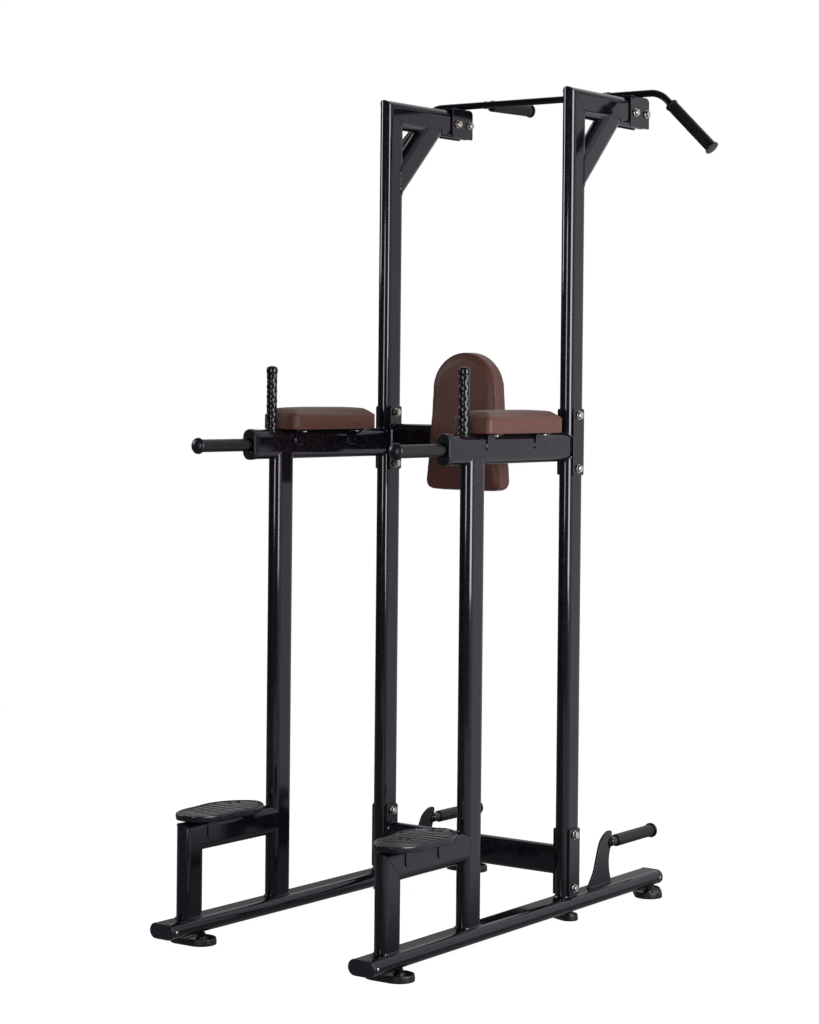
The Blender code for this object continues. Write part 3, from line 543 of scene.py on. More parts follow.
def thread(shape, matrix, radius, z0, z1, pitch=0.00175, sides=24):
    """Threaded rod end: ridges that climb as a helix."""
    depth = pitch * 0.5
    rings = [[matrix @ Vector((0, 0, z0))]]
    count = max(4, int((z1 - z0) / (pitch / 5)))
    for k in range(count + 1):
        z = z0 + (z1 - z0) * k / count
        ring = []
        for i in range(sides):
            a = 2 * math.pi * i / sides
            phase = (z / pitch - i / sides) % 1.0
            r = radius - depth * abs(2 * phase - 1)
            if z > z1 - 0.0012:
                r = min(r, radius - (z - (z1 - 0.0012)) * 0.9)
            ring.append(matrix @ Vector((r * math.cos(a), r * math.sin(a), z)))
        rings.append(ring)
    rings.append([matrix @ Vector((0, 0, z1))])
    shape.rows(rings, caps=(False, False))


def sleeve(shape, matrix, length, radius, bore, pattern=None, sides=72, steps=None, edge=0.003, start=0.0):
    """Rubber sleeve about z with rounded rims; pattern(angle, z) raises or sinks its skin."""
    steps = steps or max(8, int(length / 0.0011))
    levels = []
    for i in range(5):
        a = math.pi / 2 * i / 4
        levels.append((edge - edge * math.cos(a), radius - edge + edge * math.sin(a)))
    for k in range(1, steps):
        levels.append((edge + (length - 2 * edge) * k / steps, radius))
    for i in range(5):
        a = math.pi / 2 * i / 4
        levels.append((length - edge + edge * math.sin(a), radius - edge + edge * math.cos(a)))
    rings = []
    for z, r in levels:
        fade = min(1.0, max(0.0, (min(z, length - z) - edge * 0.6) / 0.004))
        ring = []
        for i in range(sides):
            a = 2 * math.pi * i / sides
            rr = r + (pattern(a, z) * fade if pattern else 0.0)
            ring.append(matrix @ Vector((rr * math.cos(a), rr * math.sin(a), start + z)))
        rings.append(ring)
    for z in (length, 0.0):
        rings.append([matrix @ Vector((bore * math.cos(2 * math.pi * i / sides), bore * math.sin(2 * math.pi * i / sides),
                                       start + z)) for i in range(sides)])
    shape.rows(rings, loop=True)


PIECES = []


def piece(name, nodes, shape, look, body="station", matrix=CENTRE, angle=32.0):
    obj = shape.finish(name, matrix, look, angle)
    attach(obj, body)
    if nodes:
        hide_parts(*nodes)
    PIECES.append(obj)
    return obj


# ======================================================================
# side frames
# ======================================================================
def nose(p):
    """How far a round nose of the tube stands out at p off its middle plane, from the flat's end."""
    return math.sqrt(max(0.0, R * R - p * p))


SINK = 0.0010


def rail(side, hub):
    s = Shape()
    outline = stadium()
    oval_tube(s, Vector((0, 0, RAIL_Z)), Z, X, Y, RAIL_FRONT, RAIL_BACK, outline,
              middle=(RAIL_FRONT + 0.0007, RAIL_BACK - 0.0007))
    piece(f"rail_{side}_tube", [f"base_rail_{side}"], s, COAT, matrix=hub)


def rail_cap(side, where, hub):
    """Moulded cap: crowned face, rounded rim, short skirt, a shallow parting line and the plug in the tube."""
    s = Shape()
    y0 = RAIL_FRONT if where == "front" else RAIL_BACK
    out = -1.0 if where == "front" else 1.0
    levels = [(-0.0185, 0.0036), (0.0000, 0.0036), (0.0001, 0.0002), (0.0006, -0.0006), (0.0022, -0.0008),
              (0.0034, -0.0006), (0.0046, 0.0004), (0.0054, 0.0020), (0.0058, 0.0045), (0.0060, 0.0085)]
    rings = []
    base = stadium(THICK, WIDE, 16, 0.0007)
    for s_out, inset in levels:
        if inset >= 0:
            ring = stadium(THICK - 2 * inset, WIDE - 2 * inset, 16, 0.0007)
        else:
            ring = stadium(THICK - 2 * inset, WIDE - 2 * inset, 16, 0.0007)
        rings.append([Vector((q, y0 + out * s_out, RAIL_Z + p)) for p, q in ring])
    s.rows(rings)
    return piece(f"rail_{side}_cap_{where}", [f"rail_cap_{where}_{side}"], s, RAIL_CAP, matrix=hub, angle=50)


def dome_screw(shape, matrix, radius, height, recess=0.0, sides=32):
    """Low domed head, with a hexagon socket if recess is given."""
    profile = [(0.0, -0.002), (radius, -0.002), (radius, 0.0003)]
    for i in range(1, 7):
        a = math.pi / 2 * i / 6
        profile.append((radius * math.cos(a), 0.0003 + height * math.sin(a)))
    profile[-1] = (0.0, 0.0003 + height)
    if recess > 0:
        cut = [(r, z) for r, z in profile[:-1] if r > recess]
        top = 0.0003 + height * math.sqrt(max(0.0, 1 - (recess / radius) ** 2))
        profile = cut + [(recess, top), (recess * 0.96, top - 0.0004), (recess * 0.96, top - 0.0028), (0.0, top - 0.0028)]
    lathe(shape, profile, matrix, sides)


def foot(side, where, sign, hub):
    """Oblong rubber pad with a raised rim, boss, locked nut and threaded stem; rides on its own screw."""
    places = {"front": (0.012, -0.808), "middle": (-0.012, 0.036), "rear": (0.012, 0.436)}
    turn = {"front": 182.0, "middle": 160.0, "rear": 126.0 if side == "right" else 180.0}[where]
    long_, wide = (0.084, 0.050) if where == "middle" else (0.134, 0.080)
    fx, fy = places[where]
    local = hub @ Matrix.Translation((fx, fy, 0)) @ Matrix.Rotation(math.radians(turn) - sign * FLARE, 4, "Z")
    body = f"foot_{where}_{side}"
    s = Shape()
    shift = (long_ - wide) / 2
    levels = [(0.0025, 0.0000), (0.0009, 0.0004), (0.0002, 0.0014), (0.0000, 0.0028), (0.0004, 0.0100), (0.0010, 0.0152),
              (0.0014, 0.0168), (0.0022, 0.0176), (0.0034, 0.0180), (0.0046, 0.0177), (0.0056, 0.0168), (0.0062, 0.0155),
              (0.0066, 0.0125), (0.0072, 0.0116), (0.0084, 0.0112), (0.0130, 0.0111), (0.0200, 0.0111)]
    rings = []
    for inset, z in levels:
        ring = stadium(wide - 2 * inset, long_ - 2 * inset, 24, 0.0007)
        rings.append([Vector((q + shift, p, z)) for p, q in ring])
    s.rows(rings)
    for k in range(3):      # low ribs across the dish
        x0 = wide / 2 + (long_ - wide) * (0.02 + 0.30 * k)
        half = wide / 2 - 0.011 - 0.004 * k
        slab(s, box_outline(x0 - 0.0014, x0 + 0.0014, -half, half, (0.0013,) * 4, 4), 0.0026,
             Vector((0, 0, 0.0107)), X, Y, Z, bevel=0.0007, steps=2)
    lathe(s, [(0.0, 0.0090), (0.0185, 0.0090), (0.0176, 0.0118), (0.0150, 0.0134), (0.0143, 0.0190), (0.0136, 0.0200),
              (0.0124, 0.0204), (0.0, 0.0204)])
    pad = piece(f"{body}_pad", [body], s, FOOT, body=body, matrix=local, angle=40)
    s = Shape()
    lathe(s, rounded_profile(0.0122, 0.0203, 0.0216, 0.0005, 3), sides=40)
    hexagon(s, Matrix.Translation((0, 0, 0.0216)) @ Matrix.Rotation(0.4, 4, "Z"), 0.0188, 0.0066, both=True)
    thread(s, Matrix.Translation((0, 0, 0)), 0.0060, 0.0270, 0.0585)
    lathe(s, rounded_profile(0.0102, 0.0292, 0.0312, 0.0005, 3), sides=40)
    piece(f"{body}_stem", [], s, COAT, body=body, matrix=local, angle=30)


def mast(side, sign, hub):
    s = Shape()
    outline = stadium()
    bend = lambda p, q: TOP_ARM_Z - q          # mitre plane z = TOP_ARM_Z - y
    rings = []
    for z in (RAIL_TOP - 0.0005, RAIL_TOP + 0.001):
        rings.append([Vector((p, q, z)) for p, q in outline])
    rings.append([Vector((p, q, TOP_ARM_Z - q)) for p, q in outline])
    for y in (TOP_ARM_END - 0.0015, TOP_ARM_END):
        inset = 0.0 if y < TOP_ARM_END else 0.0009
        k = 1 - inset / R
        rings.append([Vector((p * k, y, TOP_ARM_Z - q * (1 - inset / (WIDE / 2)))) for p, q in outline])
    s.rows(rings)
    # brace between upright and top arm
    root = Vector((0, 0, BRACE_OFFSET))
    w, v = Vector((0, 1, 1)).normalized(), Vector((0, 1, -1)).normalized()
    h = math.sqrt(2.0)
    near = lambda p, q: h * (R + nose(p) - SINK) - q
    far = lambda p, q: h * (TOP_ARM_Z - R - nose(p) + SINK - BRACE_OFFSET) + q
    brace_outline = stadium(THICK - 0.0004, WIDE)
    ends = oval_tube(s, root, X, v, w, near, far, brace_outline)
    bead(s, ends[0], 0.0030, seed=1.0 + sign)
    bead(s, ends[-1], 0.0030, seed=2.0 + sign)
    # foot weld, mitre weld ground nearly flush
    bead(s, [Vector((p, q, RAIL_TOP + 0.0004)) for p, q in outline], 0.0036, seed=3.0 + sign)
    bead(s, [Vector((p, q, TOP_ARM_Z - q)) for p, q in outline], 0.0009, ripple=0.1, seed=4.0)
    piece(f"mast_{side}_tube", [f"mast_{side}"], s, COAT, matrix=hub)


def front_upright(side, sign, hub):
    s = Shape()
    outline = stadium()
    top = lambda p, q: ARM_Z - R - nose(p) + SINK
    ends = oval_tube(s, Vector((0, FRONT_Y, 0)), X, Y, Z, RAIL_TOP - 0.0005, top, outline, middle=(RAIL_TOP + 0.001,))
    bead(s, [Vector((p, FRONT_Y + q, RAIL_TOP + 0.0004)) for p, q in outline], 0.0036, seed=5.0 + sign)
    bead(s, ends[-1], 0.0026, seed=6.0 + sign, dress=ground_flats)
    piece(f"upright_{side}_tube", [f"front_upright_{side}"], s, COAT, matrix=hub)


def arm(side, sign, hub):
    s = Shape()
    outline = stadium()
    back = lambda p, q: -R - nose(p) + SINK
    ends = oval_tube(s, Vector((0, 0, ARM_Z)), X, Z, Y, ARM_FRONT, back, outline)
    bead(s, ends[-1], 0.0028, seed=7.0 + sign)
    for y0, y1 in LUG_SPANS:
        mid = (y0 + y1) / 2
        for edge in (-1, 1):
            # hat bracket: leg on the flat of the arm, flange under the pad
            bend_r = 0.004
            points = [(0.0196, 1.3020), (0.0240, 1.3020)]
            for i in range(5):
                a = math.pi - math.pi / 2 * i / 4
                points.append((0.0240 + 0.0015 + 0.0015 * math.cos(a), 1.3400 - 0.0015 + 0.0015 * math.sin(a)))
            points += [(0.0480, 1.3400), (0.0480, 1.3445)]
            for i in range(5):
                a = math.pi / 2 + math.pi / 2 * i / 4
                points.append((0.0196 + bend_r + bend_r * math.cos(a), 1.3445 - bend_r + bend_r * math.sin(a)))
            points = [(edge * x, z) for x, z in points]
            slab(s, points, y1 - y0, Vector((0, y0, 0)), X, Z, Y, bevel=0.0007, steps=2)
            for yy in (y0, y1):
                bead(s, [Vector((edge * 0.0206, yy, z)) for z in (1.3035, 1.3200)], 0.0021, closed=False, seed=8.0 + yy)
            bead(s, [Vector((edge * 0.0206, y, 1.3022)) for y in (y0 + 0.002, y1 - 0.002)], 0.0018, closed=False, seed=9.0 + yy)
    piece(f"arm_{side}_tube", [f"arm_tube_{side}"], s, COAT, matrix=hub)


def arm_cap(side, hub):
    """Cap over the end of the arm, with a round well for the dip handle."""
    s = Shape()
    front = ARM_FRONT - ARM_CAP
    half_t, half_w = THICK / 2 + 0.0015, WIDE / 2 + 0.0015
    seg = 16
    levels = [(ARM_FRONT - 0.0003, 0.0012), (ARM_FRONT - 0.0006, 0.0003), (ARM_FRONT - 0.0014, 0.0), (front + 0.0026, 0.0),
              (front + 0.0013, 0.0003), (front + 0.0005, 0.0010), (front + 0.0001, 0.0018), (front, 0.0026)]
    rings = []
    for y, inset in levels:
        ring = stadium(2 * (half_t - inset), 2 * (half_w - inset), seg)
        rings.append([Vector((p, y, ARM_Z + q)) for p, q in ring])
    angles = [math.atan2(q, p) for p, q in stadium(2 * half_t, 2 * half_w, seg)]
    for r, y in ((0.0190, front), (0.0183, front + 0.0004), (0.0180, front + 0.0012), (0.0180, front + 0.0170),
                 (0.0120, front + 0.0170)):
        rings.append([Vector((r * math.cos(a), y, DIP_Z + r * math.sin(a))) for a in angles])
    s.rows(rings)
    piece(f"arm_{side}_cap", [f"arm_end_cap_{side}"], s, CAP, matrix=hub, angle=40)


def pillows(count, pitch, depth, power=0.8):
    """Diamond pillows moulded into a grip, their columns staggered: 2 x count columns round it, one every pitch along it."""
    def skin(a, z):
        u, v = a * count / 2 + math.pi * z / pitch, a * count / 2 - math.pi * z / pitch
        return depth * (abs(math.sin(u) * math.sin(v)) ** power - 0.6)
    return skin


GRIP_SKIN = pillows(6, 0.0170, 0.00030, 1.0)


def dip_handle(side, hub):
    s = Shape()
    m = Matrix.Translation((0, 0, DIP_Z)) @ ALONG["-y"]      # z runs to -y
    root, tip = -(ARM_FRONT + 0.014), -DIP_END
    profile = [(0.0, root - 0.02), (0.0130, root - 0.02), (0.0130, tip - 0.0155), (0.0190, tip - 0.0152)]
    big, long_ = 0.0217, 0.0150
    profile += [(0.0208, tip - 0.0148), (0.0215, tip - 0.0138)]
    for i in range(1, 11):
        a = math.pi / 2 * i / 10
        profile.append((big * math.cos(a * 0.995), tip - 0.0128 + 0.0128 * math.sin(a)))
    profile[-1] = (0.0, tip)
    lathe(s, profile, m, 56)
    piece(f"dip_{side}_bar", [f"dip_handle_bar_{side}"], s, CAP, matrix=hub, angle=30)
    s = Shape()
    start, end = -(ARM_FRONT - ARM_CAP) + 0.0115, tip - 0.0156
    sleeve(s, m, end - start, 0.0169, 0.0132, GRIP_SKIN, start=start, edge=0.0036)
    piece(f"dip_{side}_grip", [f"dip_grip_{side}"], s, GRIP, matrix=hub)


def vertical_handle(side, hub):
    """Hand grip with a quilt of raised diamonds, domed top, seated on the round top of the arm."""
    s = Shape()
    sides, rows = 96, 210
    top = VERTICAL_TOP
    rings = []

    skin = pillows(3, 0.0268, 0.0013, 1.2)
    for k in range(4):
        ring = []
        for i in range(sides):
            a = 2 * math.pi * i / sides
            r = (0.0172, 0.0174, 0.0166, 0.0150)[k]
            x, y = r * math.cos(a), r * math.sin(a)
            seat = ARM_Z + R + math.sqrt(max(0.0, R * R - x * x)) - SINK
            ring.append(Vector((x, VERTICAL_Y + y, seat + (0.0, 0.0022, 0.0038, 0.0046)[k])))
        rings.append(ring)
    start = ARM_Z + R + R + 0.0050
    for k in range(rows + 1):
        z = start + (top - 0.0085 - start) * k / rows
        fade = min(1.0, (z - start) / 0.006, (top - 0.0085 - z) / 0.006)
        ring = []
        for i in range(sides):
            a = 2 * math.pi * i / sides
            flare = min(1.0, max(0.0, (z - (top - 0.024)) / 0.008))
            r = VERTICAL_R - 0.0002 + 0.0011 * flare * flare * (3 - 2 * flare) + max(0.0, fade) * (1 - flare) * skin(a, z)
            ring.append(Vector((r * math.cos(a), VERTICAL_Y + r * math.sin(a), z)))
        rings.append(ring)
    for i in range(1, 8):
        a = math.pi / 2 * i / 8
        r = (VERTICAL_R + 0.0009) * math.cos(a)
        z = top - 0.0085 + 0.0085 * math.sin(a)
        rings.append([Vector((r * math.cos(2 * math.pi * j / sides), VERTICAL_Y + r * math.sin(2 * math.pi * j / sides), z))
                      for j in range(sides)])
    rings.append([Vector((0, VERTICAL_Y, top))])
    s.rows(rings, caps=(True, False))
    piece(f"handle_{side}_vertical", [f"vertical_handle_{side}"], s, KNOB, matrix=hub, angle=50)


def step_frame(side, sign, hub):
    s = Shape()
    outline = stadium()
    back = lambda p, q: FRONT_Y - R - nose(p) + SINK
    rings = []
    for z in (RAIL_TOP - 0.0005, RAIL_TOP + 0.001):
        rings.append([Vector((p, STEP_POST_Y - q, z)) for p, q in outline])
    rings.append([Vector((p, STEP_POST_Y - q, STEP_Z + q)) for p, q in outline])
    rings.append([Vector((p, back(p, q), STEP_Z + q)) for p, q in outline])
    s.rows(rings)
    bead(s, [Vector((p, STEP_POST_Y + q, RAIL_TOP + 0.0004)) for p, q in outline], 0.0036, seed=11.0 + sign)
    bead(s, rings[2], 0.0010, ripple=0.1, seed=12.0)
    bead(s, rings[3], 0.0028, seed=13.0 + sign, dress=ground_flats)
    for y0, y1 in STRAP_SPANS:
        r, out = 0.005, 0.0230
        pts = [(-out, 0.3150), (-0.0200, 0.3150), (-0.0200, 0.3247), (0.0200, 0.3247), (0.0200, 0.3150), (out, 0.3150)]
        for i in range(6):
            a = math.pi / 2 * i / 5
            pts.append((out - r + r * math.cos(a), 0.3285 - r + r * math.sin(a)))
        for i in range(6):
            a = math.pi / 2 + math.pi / 2 * i / 5
            pts.append((-out + r + r * math.cos(a), 0.3285 - r + r * math.sin(a)))
        slab(s, pts, y1 - y0, Vector((0, y0, 0)), X, Z, Y, bevel=0.0007, steps=2)
        for edge in (-1, 1):
            slab(s, box_outline(y0, y1, 0.2780, 0.3200, (0.009, 0.009, 0.001, 0.001), 6), 0.0029,
                 Vector((edge * 0.0201, 0, 0)), Y, Z, X * edge, bevel=0.0007)
            for yy in (y0, y1):
                bead(s, [Vector((edge * 0.0202, yy, z)) for z in (0.2990, 0.3120)], 0.0013, closed=False, seed=14.0 + yy)
    piece(f"step_{side}_frame", [f"step_frame_{side}"], s, COAT, matrix=hub)


PLATE_Z0, PLATE_Z1 = 0.3288, 0.3450
SOLE_PLACES = {"left": (-0.0062, -0.7283, -0.014), "right": (0.0130, -0.7435, 0.062)}  # outward, along, toes outward
SOLE_HALF, SOLE_WAIST = (0.0835, 0.1507), (0.20, 0.11)
GROOVES = ((0.0989, -0.062, 9.4), (0.0658, -0.017, 9.0), (0.0419, -0.027, 2.0), (0.0149, 0.013, 0.0), (-0.0121, 0.053, 0.0),
           (-0.0402, 0.143, 0.0), (-0.0688, 0.283, 0.0))      # along the sole, slope outward, curvature


def sole_edge(y, outer):
    """Half width of the sole, y along its own axis: a squarish toe, a rounder heel, and an instep drawn in on both sides."""
    u = min(1.0, abs(y) / SOLE_HALF[1])
    n = 2.8 if y < 0 else 1.62
    v = y / SOLE_HALF[1]
    waist = 1 - SOLE_WAIST[outer] * math.exp(-((v + 0.075) / 0.38) ** 2)
    return SOLE_HALF[0] * waist * (1 + 0.235 * v) * (1 - u ** n) ** (1 / n)


def footplate(side, sign, hub):
    """Moulded tread: raised rim, pillowed ridges across the foot, sunk screws, skirt."""
    rows, cols = 200, 84
    outward, along, turn = SOLE_PLACES[side]
    turn *= sign
    ys = [-SOLE_HALF[1] * math.cos(math.pi * i / rows) for i in range(rows + 1)]
    chain = [(-sole_edge(y, sign < 0), sole_edge(y, sign > 0), y) for y in ys]
    loop = np.array([(b, y) for a, b, y in chain] + [(a, y) for a, b, y in reversed(chain[1:-1])])
    grid = np.array([[a + (b - a) * j / cols for j in range(cols + 1)] for a, b, y in chain])
    pts = np.stack([grid, np.repeat(np.array(ys)[:, None], cols + 1, 1)], -1).reshape(-1, 2)
    dist = np.full(len(pts), 1e9)
    for p0, p1 in zip(loop, np.roll(loop, -1, 0)):
        e = p1 - p0
        t = np.clip(((pts - p0) @ e) / max(1e-12, e @ e), 0, 1)
        dist = np.minimum(dist, np.hypot(*(pts - (p0 + t[:, None] * e)).T))
    x, y = pts[:, 0] * sign, pts[:, 1]
    floor_z, edge = 0.3398, 0.0032
    h = np.full(len(pts), PLATE_Z1)
    near = dist < edge
    h[near] -= edge - np.sqrt(np.maximum(0, edge ** 2 - (edge - dist[near]) ** 2))
    t = np.clip((dist - 0.0052) / 0.0030, 0, 1)
    fall = t * t * (3 - 2 * t)
    gap = np.full(len(pts), 1e9)
    for y0, slope, bow in GROOVES:
        gap = np.minimum(gap, np.abs(y - (y0 + slope * x + bow * (x + 0.008) ** 2)))
    ridge = np.sqrt(np.maximum(0, 1 - (1 - np.clip((gap - 0.0012) / 0.0120, 0, 1)) ** 2))
    toe = np.clip((-0.092 - y) / 0.02, 0, 1)
    inside = np.clip((dist - 0.0090) / 0.0050, 0, 1)
    height = floor_z + (0.0043 - 0.0012 * toe) * ridge * inside
    screws = []
    for sx in (-0.012, 0.012):
        for y0, y1 in STRAP_SPANS:
            dx, dy = sx - sign * outward, (y0 + y1) / 2 - along
            px, py = math.cos(turn) * dx + math.sin(turn) * dy, -math.sin(turn) * dx + math.cos(turn) * dy
            screws.append((px, py))
            sunk = np.clip((0.0075 - np.hypot(pts[:, 0] - px, pts[:, 1] - py)) / 0.0015, 0, 1)
            height = height * (1 - sunk) + (floor_z + 0.0004) * sunk
    h = h * (1 - fall) + height * fall
    s = Shape()
    verts = []
    for i in range(rows + 1):
        row = []
        for j in range(cols + 1):
            k = i * (cols + 1) + j
            if i in (0, rows) and j > 0:
                row.append(row[0])
                continue
            row.append(s.bm.verts.new((pts[k, 0], pts[k, 1], h[k])))
        verts.append(row)
    for i in range(rows):
        for j in range(cols):
            clean = []
            for v in (verts[i][j], verts[i][j + 1], verts[i + 1][j + 1], verts[i + 1][j]):
                if v not in clean:
                    clean.append(v)
            if len(clean) > 2:
                s.bm.faces.new(clean)
    border = [verts[i][cols] for i in range(rows + 1)] + [verts[i][0] for i in range(rows - 1, 0, -1)]
    rim = [(v.co.x, v.co.y) for v in border]
    previous = border
    for inset, z in ((0.0002, 0.3400), (0.0006, 0.3330), (0.0012, 0.3300), (0.0022, 0.3291), (0.0040, PLATE_Z0)):
        k = 1 - inset / SOLE_HALF[0]
        current = [s.bm.verts.new((px * k, py * (1 - inset / SOLE_HALF[1]), z)) for px, py in rim]
        n = len(current)
        for i in range(n):
            s.bm.faces.new((previous[i], previous[(i + 1) % n], current[(i + 1) % n], current[i]))
        previous = current
    s.bm.faces.new(previous)
    local = hub @ Matrix.Translation((sign * outward, along, 0)) @ Matrix.Rotation(turn, 4, "Z")
    piece(f"step_{side}_tread", [f"footplate_{side}"], s, TREAD, matrix=local, angle=55)
    s = Shape()
    for px, py in screws:
        dome_screw(s, Matrix.Translation((px, py, floor_z + 0.0006)), 0.0048, 0.0022, recess=0.0019)
    piece(f"step_{side}_tread_screws", [], s, BLACKED, matrix=local)


def push_up(side, hub):
    foot_z = RAIL_TOP
    s = Shape()
    outline = ((0.112, foot_z), (0.144, 0.115), (0.159, 0.152), (0.177, 0.193), (0.203, 0.214), (0.226, 0.220),
               (0.241, 0.212), (0.233, 0.171), (0.226, 0.143), (0.228, 0.110), (0.240, foot_z))
    smooth = catmull([Vector((y, z, 0)) for y, z in outline], 6)
    slab(s, [(p.x, p.y) for p in smooth], 0.006, Vector((-0.003, 0, 0)), Y, Z, X, bevel=0.0009, steps=3)
    for edge in (-1, 1):
        bead(s, [Vector((edge * 0.0032, y, foot_z + 0.0006)) for y in (0.115, 0.237)], 0.0030, closed=False, seed=17.0 + edge)
    m = Matrix.Translation((0, 0, PUSH_Z)) @ ALONG["y"]
    lathe(s, [(0.0, 0.2290), (0.0050, 0.2294), (0.0096, 0.2308), (0.0122, 0.2334), (0.0134, 0.2368), (0.0131, 0.2396),
              (0.0126, 0.2420), (0.0126, PUSH_BACK - 0.0015), (0.0, PUSH_BACK - 0.0015)], m, 48)
    for edge in (-1, 1):     # welds of the bar on both faces of the fin, with a run-out below
        bead(s, [Vector((edge * x, y, PUSH_Z + z)) for x, y, z in ((0.0032, 0.2345, 0.0150), (0.0040, 0.2300, 0.0110),
             (0.0052, 0.2270, 0.0040), (0.0052, 0.2265, -0.0040), (0.0040, 0.2280, -0.0120), (0.0030, 0.2300, -0.0180))],
             0.0024, closed=False, ripple=0.35, seed=18.0 + edge)
    piece(f"push_{side}_handle", [f"push_up_handle_{side}"], s, COAT, matrix=hub)
    s = Shape()
    lathe(s, rounded_profile(0.0210, PUSH_BACK - 0.0020, PUSH_BACK + 0.0040, 0.0022, 5), m, 56)
    piece(f"push_{side}_end", [], s, CAP, matrix=hub)
    s = Shape()
    sleeve(s, m, PUSH_BACK - 0.0023 - PUSH_GRIP, 0.0169, 0.0128, GRIP_SKIN, start=PUSH_GRIP)
    piece(f"push_{side}_grip", [f"push_up_grip_{side}"], s, GRIP, matrix=hub)


def catmull(points, steps):
    """Open Catmull-Rom curve through the points, ends kept."""
    out = []
    n = len(points)
    for i in range(n - 1):
        p0, p1, p2, p3 = points[max(i - 1, 0)], points[i], points[i + 1], points[min(i + 2, n - 1)]
        for k in range(steps):
            t = k / steps
            out.append(0.5 * ((2 * p1) + (p2 - p0) * t + (2 * p0 - 5 * p1 + 4 * p2 - p3) * t * t
                              + (3 * p1 - p0 - 3 * p2 + p3) * t * t * t))
    out.append(points[-1].copy())
    return out


def plates_and_bolts(side, sign, hub):
    axis = X * sign
    for level, z in (("upper", CROSS_UPPER_Z), ("lower", CROSS_LOWER_Z)):
        s = Shape()
        slab(s, box_outline(-0.027, 0.027, -0.0905, 0.0905, (0.006,) * 4, 5), 0.006,
             Vector((sign * (R + 0.0002), 0, z)), Y, Z, axis, bevel=0.0010)
        piece(f"plate_{side}_{level}", [f"plate_{level}_{side}"], s, COAT, matrix=hub)
        for where, dz in (("top", 0.073), ("bottom", -0.073)):
            bolt(f"bolt_{side}_{level}_{where}", f"bolt_{level}_{where}_{side}", sign, Vector((0, 0, z + dz)), R + 0.0062,
                 R + 0.0068, hub, turn=0.5 + dz * 9 + sign)
    for n, y in (("front", 0.294), ("rear", 0.355)):
        bolt(f"bolt_{side}_bar_{n}", f"bolt_bar_{n}_{side}", sign, Vector((0, y, TOP_ARM_Z)), R + 0.0053, R + 0.0053, hub,
             turn=0.2 + y * 11)


def bolt(name, node, sign, centre, head_at, nut_at, hub, turn=0.0):
    """Hex bolt across the tube: washer and head outside, washer, nut and threaded end inside."""
    s = Shape()
    out = Matrix.Translation(centre) @ ALONG["x" if sign > 0 else "-x"]
    inn = Matrix.Translation(centre) @ ALONG["-x" if sign > 0 else "x"]
    lathe(s, rounded_profile(0.0120, head_at, head_at + 0.0018, 0.0006, 3), out, 48)
    hexagon(s, out @ Matrix.Translation((0, 0, head_at + 0.0018)) @ Matrix.Rotation(turn, 4, "Z"), 0.0178, 0.0072)
    lathe(s, rounded_profile(0.0056, head_at + 0.0086, head_at + 0.0092, 0.0002, 2), out, 32)
    lathe(s, rounded_profile(0.0118, nut_at, nut_at + 0.0018, 0.0006, 3), inn, 48)
    hexagon(s, inn @ Matrix.Translation((0, 0, nut_at + 0.0018)) @ Matrix.Rotation(turn * 1.7, 4, "Z"), 0.0178, 0.0088, both=True)
    thread(s, inn, 0.0060, nut_at - 0.004, nut_at + 0.0128, sides=20)
    piece(name, [node], s, ZINC, matrix=hub, angle=22)


def pad_screws(side, hub):
    s = Shape()
    for y0, y1 in LUG_SPANS:
        for edge in (-1, 1):
            m = Matrix.Translation((edge * 0.0375, (y0 + y1) / 2, 1.3399)) @ ALONG["-z"]
            lathe(s, rounded_profile(0.0085, 0.0, 0.0014, 0.0005, 3), m, 40)
            dome_screw(s, m @ Matrix.Translation((0, 0, 0.0013)), 0.0062, 0.0038, recess=0.0026)
    piece(f"arm_{side}_pad_screws", [], s, ZINC, matrix=hub)


def rivets(side, sign, hub):
    s = Shape()
    for y in (RAIL_FRONT + 0.011, RAIL_BACK - 0.011):
        for edge in (-1, 1):
            m = Matrix.Translation((edge * 0.0400, y, RAIL_Z)) @ ALONG["x" if edge > 0 else "-x"]
            dome_screw(s, m, 0.0044, 0.0016)
    piece(f"rail_{side}_rivets", [], s, ZINC, matrix=hub)


for side, sign in SIDES:
    hub = HUB[side]
    rail(side, hub)
    for where in ("front", "rear"):
        rail_cap(side, where, hub)
    for where in ("front", "middle", "rear"):
        foot(side, where, sign, hub)
    mast(side, sign, hub)
    front_upright(side, sign, hub)
    arm(side, sign, hub)
    arm_cap(side, hub)
    dip_handle(side, hub)
    vertical_handle(side, hub)
    step_frame(side, sign, hub)
    footplate(side, sign, hub)
    push_up(side, hub)
    plates_and_bolts(side, sign, hub)
    pad_screws(side, hub)
    rivets(side, sign, hub)


# ======================================================================
# crossbars and pull-up bar
# ======================================================================
def crossbar(name, node, z):
    s = Shape()
    outline = stadium()
    inner = CROSS_FACE_X - 0.006
    oval_tube(s, Vector((0, 0, z)), Y, Z, X, -inner - 0.001, inner + 0.001, outline)
    for sign in (-1, 1):
        slab(s, box_outline(-0.027, 0.027, -0.0905, 0.0905, (0.006,) * 4, 5), 0.006,
             Vector((sign * inner, 0, z)), Y, Z, X * sign, bevel=0.0010)
        bead(s, [Vector((sign * (inner - 0.0004), p, z + q)) for p, q in outline], 0.0032, seed=20.0 + sign + z)
    piece(name, [node], s, COAT)


crossbar("crossbar_upper_tube", "upper_crossbar", CROSS_UPPER_Z)
crossbar("crossbar_lower_tube", "lower_crossbar", CROSS_LOWER_Z)


